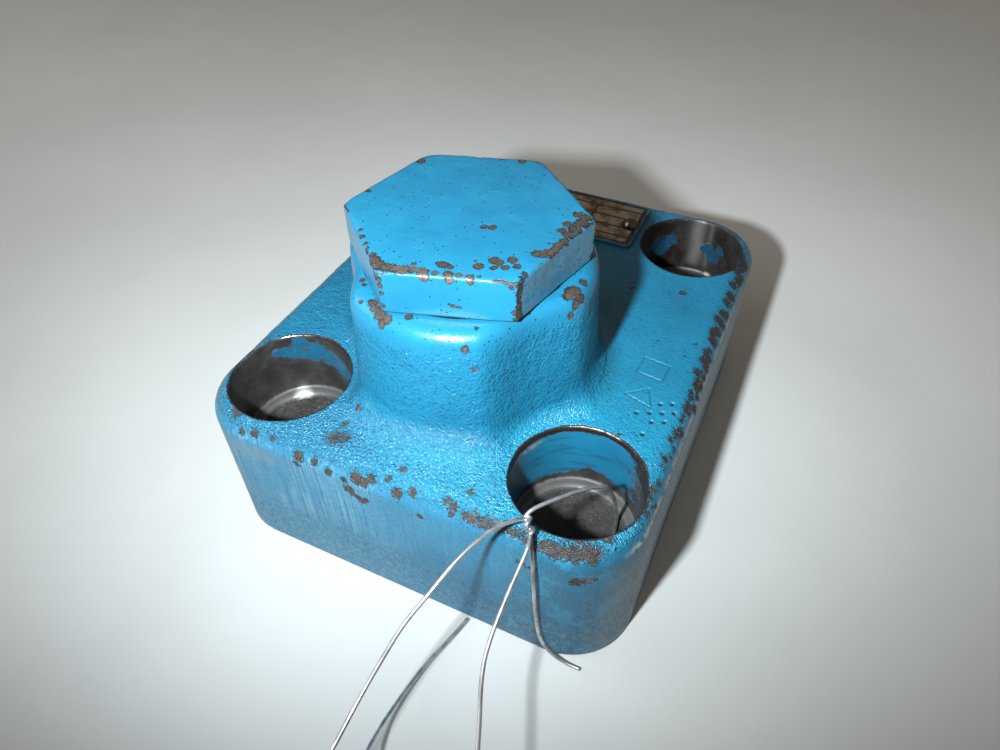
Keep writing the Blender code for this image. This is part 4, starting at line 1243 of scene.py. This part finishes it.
def scuff_mask(x, y, z, normals, side):
    """Rubbed paint: most on the right side, some on the left, rear and low down."""
    toward_right, toward_rear = normals[:, 0], normals[:, 1]
    right_low = smoothstep(30, 37, x) * smoothstep(25, 6, z) * side
    scuff = np.clip(
        0.85 * smoothstep(0.6, 0.98, toward_right) * side * smoothstep(29, 22, z)
        + 0.55 * right_low
        + 0.14 * side * smoothstep(16, 3, z)
        + 0.35 * smoothstep(0.6, 0.98, -toward_right) * side
        + 0.3 * smoothstep(0.6, 0.98, toward_rear) * side, 0, 1)
    smear = bell((x + 24.5) / 5.0, (z - 23.6) / 1.6) * (y < -40) * side
    return np.clip(scuff + 1.0 * smear, 0, 1)


def mark_depth(points):
    x, y, _ = points.T
    mark = np.zeros(len(points))
    for start, end in STROKES:
        strength = 0.42 if start[0] < 0 else 0.64
        mark = np.maximum(mark, groove(points, start, end, 0.32) * strength)
    for dot_x, dot_y in DOTS:
        dot = np.clip(1 - np.hypot(x - dot_x, y - dot_y) / 0.54, 0, 1)
        mark = np.maximum(mark, 1.5 * dot)
    return mark


def make_body():
    step = 0.36
    margin = 1.9 * step
    low = (-BLOCK_WIDTH / 2 - margin, -BLOCK_DEPTH / 2 - margin, -margin)
    high = (BLOCK_WIDTH / 2 + 1.5, BLOCK_DEPTH / 2 + 1.5, DOME_TOP + 1.5)
    verts, faces = surface_net(*sampled(body_field, low, high, step), step)
    mesh = refined_body_mesh(settle(body_field, verts, step * 0.6, 3), faces)
    points = np.empty(len(mesh.vertices) * 3)
    mesh.vertices.foreach_get("co", points)
    points = settle(body_field, points.reshape(-1, 3), step * 0.3, 1)
    normals = normals_of(body_field, points)

    x, y, z = points.T
    hole_r = np.min([np.hypot(x - hole_x, y - hole_y) for hole_x, hole_y in HOLES], axis=0)
    axis_r = np.hypot(x - AXIS_X, y - AXIS_Y)
    upright = np.hypot(normals[:, 0], normals[:, 1])
    bare = bare_mask(x, y, z, hole_r, axis_r)
    rim, spray = rim_and_spray_masks(points, hole_r)
    on_side = np.maximum(np.abs(x) / (BLOCK_WIDTH / 2), np.abs(y) / (BLOCK_DEPTH / 2)) > 0.85
    side = smoothstep(0.55, 0.95, upright) * (z < 28.4) * (hole_r > 10.6) * on_side
    cast = cast_mask(x, y, z, axis_r, side, bare)
    wear = body_wear_mask(points, axis_r, side)
    seat = (hole_r > 8.1) & (hole_r < 9.9) & (z > 15.9) & (z < 16.6)
    # a pale line along the right face under the top edge: partly worn paint, partly a painted edge
    # highlight
    line = bell((z - 26.8) / 0.45) * smoothstep(0.75, 0.9, normals[:, 0])
    line = line * smoothstep(-44, -38, y) * smoothstep(34, 10, y)
    # punched marks: pressed into the mesh below, and darkened in the shader as painted shade
    mark = mark_depth(points)
    top = (z > 28.6) & (normals[:, 2] > 0.8)

    # relief of the casting along the normal: rough skin, slow waves, chips, punched marks
    outer = np.clip(0.5 - bare * 1.5, 0, 1) * smoothstep(0.5, 2.0, z)
    lift = cast * (
        0.050 * noise(points, 1.25, 1) + 0.045 * noise(points, 2.4, 2)
        + 0.040 * noise(points, 5.0, 3))
    lift += outer * (
        0.10 * noise(points, 15.0, 4) + 0.05 * noise(points, 8.0, 6) * (1 - side * 0.5))
    lift -= 0.055 * smoothstep(0.05, 0.30, wear + 0.35 * noise(points, 0.8, 5)) * outer
    lift = np.clip(lift, -0.3, 0.2)
    lift -= 0.24 * smoothstep(0.0, 1.0, mark) * top
    mesh.vertices.foreach_set("co", ((points + normals * lift[:, None]) * MM).ravel())

    return masked_object("cast_valve_body", mesh, {
        "wear": wear, "bend": np.clip(bend_of(body_field, points), -2, 3) * (bare < 0.2),
        "bare": bare, "spray": spray, "cast": cast, "side": side, "seat": seat, "rim": rim,
        "polish": np.clip(worn(points, BODY_POLISH), 0, 1),
        "scuff": scuff_mask(x, y, z, normals, side),
        "turned": np.where(
            hole_r < 11, hole_r + z, np.where(axis_r < 17, axis_r + z, x * 0.9)),
        # glint: painted highlights; mark: punched marks, darkened in the shader as painted shade
        "painted_glint": painted_glint_mask(points, hole_r), "line": line, "mark": np.clip(mark, 0, 1) * top,
        # steep: upright faces, darkened in the shader as painted shade
        "painted_upright_shade": upright * (hole_r > 10.3),
    })


# ------------------------------------------------------------------ screw plug and data plate
def make_plug():
    step = 0.23
    low = (AXIS_X - 18.9 - step, AXIS_Y - 18.9 - step, 35.4)
    high = (AXIS_X + 19.2, AXIS_Y + 19.2, HEX_TOP + 1.0)
    verts, faces = surface_net(*sampled(plug_field, low, high, step), step)
    points = settle(plug_field, verts, step * 0.6, 3)
    normals = normals_of(plug_field, points)
    x, y, z = points.T
    r = np.hypot(x - AXIS_X, y - AXIS_Y)
    bare = np.where(z < HEX_LOW + 0.25, np.clip((15.6 - r) / 0.8, -1, 1), -1.0)
    wear = worn(points, PLUG_WEAR)
    bend = np.clip(bend_of(plug_field, points, 0.3), -2, 3) * (bare < 0)

    # slow waves, dents along the edges, and chips
    outer = (z > HEX_LOW - 0.2) * np.clip(0.5 - bare, 0, 1)
    lift = outer * (
        0.030 * noise(points, 2.2, 11) + 0.045 * noise(points, 6.0, 12)
        + 0.06 * noise(points, 13.0, 13))
    dents = np.clip(noise(points, 2.6, 14) - 0.30, 0, 1) * np.clip(bend, 0, 1.2)
    lift -= outer * 0.22 * dents
    lift -= outer * 0.055 * smoothstep(0.05, 0.30, wear + 0.25 * noise(points, 0.7, 15))

    zero = np.zeros(len(points))
    upright = np.hypot(normals[:, 0], normals[:, 1])
    side = smoothstep(0.7, 0.98, upright) * (z > HEX_LOW + 0.2)
    moved = (points + normals * lift[:, None]) * MM
    return masked_object("hex_screw_plug", quad_mesh("hex_screw_plug", moved, faces), {
        "wear": wear, "bend": bend * 0.55, "bare": bare, "spray": zero - 1,
        "cast": zero + 0.10, "side": side * 0.04, "seat": zero, "rim": zero - 1, "painted_glint": zero,
        # painted shade: the lowest strip of the hexagon's sides is darkened, standing in for the
        # shade of the gap over the dome
        "line": zero, "mark": smoothstep(HEX_LOW + 0.42, HEX_LOW + 0.12, z),
        "polish": np.clip(worn(points, PLUG_POLISH), 0, 1) * 0.8,
        "scuff": smoothstep(0.55, 0.9, normals[:, 0]) * side * 0.42, "turned": r + z,
        # steep: upright faces, darkened in the shader as painted shade
        "painted_upright_shade": upright * 1.25,
    })


def make_plate():
    """Thin sheet with a raised border and ruled blank fields etched into it."""
    step = 0.17
    reach_x, reach_y = PLATE_WIDTH / 2 + 0.8, PLATE_DEPTH / 2 + 0.8
    low, high = (-reach_x, PLATE_Y - reach_y, 28.5), (reach_x, PLATE_Y + reach_y, 30.4)
    verts, faces = surface_net(*sampled(plate_field, low, high, step), step)
    points = settle(plate_field, verts, step * 0.6, 2)
    normals = normals_of(plate_field, points)
    x, y = points[:, 0], points[:, 1] - PLATE_Y
    inset = np.minimum(PLATE_WIDTH / 2 - np.abs(x), PLATE_DEPTH / 2 - np.abs(y))
    # distance to the nearest raised line: level rules, two posts, the border, rivet pads
    rules = np.minimum.reduce([np.abs(y - rule_y) for rule_y in (-4.9, -1.7, 1.5, 4.7)])
    posts = np.where(np.abs(y) < 4.8, np.abs(np.abs(x) - 3.4), 9.0)
    line = np.minimum(np.minimum(rules, posts), np.abs(inset - 1.0))
    pads = np.hypot(np.abs(x) - RIVET_X, y - (RIVET_Y - PLATE_Y)) < 2.1
    line = np.where(pads, 0.0, line)
    etched = smoothstep(0.12, 0.34, line) * (inset > 0.8) * (normals[:, 2] > 0.6)
    points[:, 2] -= 0.07 * etched
    points += normals * (0.012 * noise(points, 3.0, 21))[:, None]
    mesh = quad_mesh("blank_data_plate", points * MM, faces)
    return masked_object("blank_data_plate", mesh, {"etched": etched, "inset": inset})


BODY_LOOK = Enamel("worn_blue_enamel_casting")
PLUG_LOOK = Enamel("worn_blue_enamel_plug")
show(BODY_LOOK, make_body(), "root", "valve_body")
show(PLUG_LOOK, make_plug(), "plug", "screw_plug")
show(plate_look(), make_plate(), "root", "data_plate")

# (radius, height), from the top of the head to the tip
RIVET = [
    (0.0, 31.05), (0.34, 31.02), (0.70, 30.90), (1.04, 30.67), (1.32, 30.36), (1.52, 30.0),
    (1.60, 29.80), (1.56, 29.70), (0.82, 29.68), (0.80, 24.0), (0.5, 23.5), (0.0, 23.4),
]
rivet_look = bare_steel(
    "drive_screw_steel", base=(0.22, 0.18, 0.15), dark=(0.07, 0.05, 0.04), rough=0.24,
    marks=0.2, oil=0.6)
for label, side in (("left", -1), ("right", 1)):
    rivet = lathe("drive_screw_" + label, RIVET, (side * RIVET_X, RIVET_Y), steps=56)
    show(rivet_look, rivet, "root", "plate_rivet_" + label)

# ------------------------------------------------------------------ seals
AXIS = (AXIS_X, AXIS_Y)
# name, node, body, ring radius, section radius, height, centre
O_RINGS = [
    ("inlet_face_seal", "inlet_port_o_ring", "root", 9.1, 0.85, 0.95, AXIS),
    ("outlet_face_seal", "outlet_port_o_ring", "root", 9.1, 0.85, 0.95, (0.0, OUTLET_Y)),
    ("plug_seal_ring", "plug_o_ring", "plug_seal", 14.15, 0.95, 49.05, AXIS),
    ("sleeve_seal_ring", "sleeve_o_ring", "root", 10.95, 0.68, 27.65, AXIS),
    ("seat_seal_ring", "seat_o_ring", "root", 8.7, 0.56, 8.9, AXIS),
]
# name, node, outer radius, inner radius, low, high
BACKUP_RINGS = [
    ("sleeve_backup", "sleeve_backup_ring", 11.65, 10.3, 28.6, 29.7),
    ("seat_backup", "seat_backup_ring", 9.25, 8.15, 9.8, 10.9),
]
nitrile, white_plastic = nitrile_look(), ptfe_look()
for name, node, body, *ring_sizes in O_RINGS:
    show(nitrile, torus(name, *ring_sizes), body, node)
for name, node, outer, inner, low, high in BACKUP_RINGS:
    section = [(outer, high), (outer, low), (inner, low), (inner, high)]
    ring = lathe(name, section, AXIS, steps=120, soften=0.12)
    show(white_plastic, ring, "root", node)

# ------------------------------------------------------------------ cartridge
# (radius, height), down the outside and back up the inside
SEAT_BUSHING = [
    (11.6, 15.0), (11.6, 13.9), (9.2, 13.9), (9.2, 11.3), (7.9, 11.3), (7.9, 8.0), (9.2, 8.0),
    (9.2, 6.7), (8.8, 6.3), (6.6, 6.3), (6.2, 6.7), (6.2, 13.4), (7.8, 15.0),
]
SPRING_TURNS, SPRING_WIRE, SPRING_RADIUS = 11, 0.65, 5.1
SPRING_LOW, SPRING_TOP = 18.3, 46.0


def spring_path(per_turn=48):
    """A coil whose first and last turns are closed."""
    closed_rise = SPRING_WIRE * 2 + 0.12
    bottom, top = SPRING_LOW + SPRING_WIRE, SPRING_TOP - SPRING_WIRE
    open_rise = top - bottom - 2 * closed_rise
    path = []
    for i in range(SPRING_TURNS * per_turn + 1):
        turn = i / per_turn
        if turn < 1:
            z = bottom + closed_rise * turn
        elif turn > SPRING_TURNS - 1:
            z = top - closed_rise * (SPRING_TURNS - turn)
        else:
            z = bottom + closed_rise + open_rise * (turn - 1) / (SPRING_TURNS - 2)
        x = AXIS_X + SPRING_RADIUS * math.cos(math.tau * turn)
        y = AXIS_Y + SPRING_RADIUS * math.sin(math.tau * turn)
        path.append(Vector((x, y, z)))
    return path


hard = bare_steel(
    "hardened_ground_steel", base=(0.48, 0.47, 0.46), dark=(0.30, 0.29, 0.27), rough=0.20,
    marks=0.16, oil=0.15, turned_about=AXIS)
bushing = lathe("turned_seat_bushing", SEAT_BUSHING, AXIS, steps=128, soften=0.10)
show(hard, bushing, "root", "seat_bushing")
springy = bare_steel(
    "oil_tempered_spring_steel", base=(0.24, 0.24, 0.25), dark=(0.10, 0.085, 0.075),
    rough=0.30, marks=0.25, oil=0.3)
for node, look in (
    ("guide_sleeve", hard), ("poppet", hard), ("spring_shim", hard), ("wave_washer", springy),
):
    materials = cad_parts[node].data.materials
    materials.clear()
    materials.append(look.mat)
spring = rod("coiled_poppet_spring", spring_path(), SPRING_WIRE, sides=16)
show(springy, spring, "root", "poppet_spring")
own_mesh(spring)

# ------------------------------------------------------------------ tie wire
WIRE_RADIUS = 0.30
TWIST_PHASE = 0.4  # radians


def twist(start, end, phase, radius=0.36, turns=1.9, steps=9):
    """Points winding round the line from start to end."""
    start, end = Vector(start), Vector(end)
    along = (end - start).normalized()
    one = along.orthogonal().normalized()
    two = along.cross(one)
    points = []
    count = max(3, int(turns * steps))
    for i in range(count + 1):
        t = i / count
        angle = math.tau * turns * t + phase
        arm = (one * math.cos(angle) + two * math.sin(angle)) * radius
        points.append(tuple(start.lerp(end, t) + arm))
    return points


# (x, y, z) along each wire; the loop and the tail are twisted together over the front edge
WIRE_LOOP = [
    (30.2, -28.4, 1.4), (30.9, -28.2, 8.0), (31.2, -27.9, 15.0), (30.9, -29.2, 22.0),
    (30.2, -30.4, 26.2), (29.9, -30.9, 27.6), (29.5, -31.6, 28.8), (28.6, -33.0, 29.8),
    (27.2, -34.9, 30.8), (24.6, -38.2, 31.3), (22.4, -41.0, 31.3),
    *twist((21.9, -42.3, 31.1), (23.6, -44.4, 30.2), TWIST_PHASE),
    (24.2, -45.6, 27.4), (24.6, -46.1, 23.6), (24.8, -46.1, 20.0), (25.3, -46.0, 12.0),
    (26.2, -46.0, 6.0), (28.0, -46.0, 2.6), (30.4, -45.9, 1.1), (32.9, -45.8, 0.75),
]
WIRE_TAIL = [
    (11.3, -78.4, 20.2), (11.4, -75.2, 20.6), (11.6, -70.1, 22.0), (12.3, -65.6, 24.3),
    (13.4, -61.2, 27.1), (14.9, -57.2, 29.2), (16.5, -52.6, 31.2), (17.9, -49.0, 31.9),
    (19.2, -46.4, 32.0), (20.4, -44.6, 31.7),
    *twist((21.9, -42.9, 31.3), (23.7, -44.5, 30.4), TWIST_PHASE + math.pi),
    (23.8, -46.2, 30.3), (23.8, -48.4, 29.4), (23.7, -51.4, 28.3), (23.7, -54.4, 27.2),
    (23.8, -57.6, 26.0), (24.2, -60.4, 25.1), (25.2, -63.4, 24.5), (26.7, -66.8, 24.2),
    (28.6, -71.4, 24.0),
]
WIRE_LEAD = [
    (13.2, -45.8, 0.8), (12.9, -47.4, 0.8), (12.1, -50.6, 0.9), (11.1, -54.6, 1.3),
    (10.5, -59.0, 1.9), (10.3, -63.0, 2.9), (10.5, -66.8, 4.6), (11.5, -71.4, 8.1),
    (12.2, -73.4, 10.2),
]
soft_wire = wire_look()
for label, path in (("loop", WIRE_LOOP), ("tail", WIRE_TAIL), ("lead", WIRE_LEAD)):
    wire = rod("tie_wire_" + label, smooth_path(path), WIRE_RADIUS)
    show(soft_wire, wire, "root", "tag_wire_" + label)


# ------------------------------------------------------------------ floor, light, camera
def make_floor():
    bm = bmesh.new()
    bmesh.ops.create_grid(bm, x_segments=4, y_segments=4, size=3.0)
    mesh = bpy.data.meshes.new("floor")
    bm.to_mesh(mesh)
    bm.free()
    floor = add_object("floor", mesh)
    mesh.materials.append(floor_look().mat)


def add_light(name, kind, where, toward, **settings):
    light = bpy.data.lights.new(name, kind)
    for key, value in settings.items():
        setattr(light, key, value)
    obj = add_object(name, light)
    obj.location = Vector(where) * MM
    direction = Vector(toward) - Vector(where)
    obj.rotation_euler = direction.to_track_quat("-Z", "Y").to_euler()


def make_world():
    world = bpy.data.worlds.new("soft_room")
    bpy.context.scene.world = world
    world.use_nodes = True
    background = world.node_tree.nodes["Background"]
    background.inputs["Color"].default_value = (1.0, 0.87, 0.73, 1.0)
    background.inputs["Strength"].default_value = 0.165


def make_camera():
    data = bpy.data.cameras.new("camera")
    data.lens, data.sensor_width = 26.03, 36.0
    data.clip_start, data.clip_end = 0.005, 20.0  # metres
    camera = add_object("camera", data)
    right = Vector((0.904, 0.427, -0.011)).normalized()
    forward = Vector((-0.311, 0.641, -0.702)).normalized()
    up = right.cross(forward).normalized()
    right = forward.cross(up)
    rotation = Matrix((right, up, -forward)).transposed()
    place = Matrix.Translation(Vector((43.38, -94.22, 113.01)) * MM)
    camera.matrix_world = place @ rotation.to_4x4()
    bpy.context.scene.camera = camera


make_floor()
make_world()
add_light(
    "key", "SPOT", where=(17.6, -106.4, 113.0), toward=(-130.0, 360.0, 0.0),
    spot_size=2 * 1.225, spot_blend=1.0, shadow_soft_size=3.6 * MM, energy=2.12,
    color=(0.925, 1.0, 1.035))
add_light(
    "fill", "AREA", where=(-420.0, -160.0, 260.0), toward=(0.0, 0.0, 20.0),
    shape="DISK", size=300.0 * MM, energy=0.55, color=(0.97, 0.98, 1.0))
make_camera()
bpy.context.scene.view_settings.view_transform = "Standard"
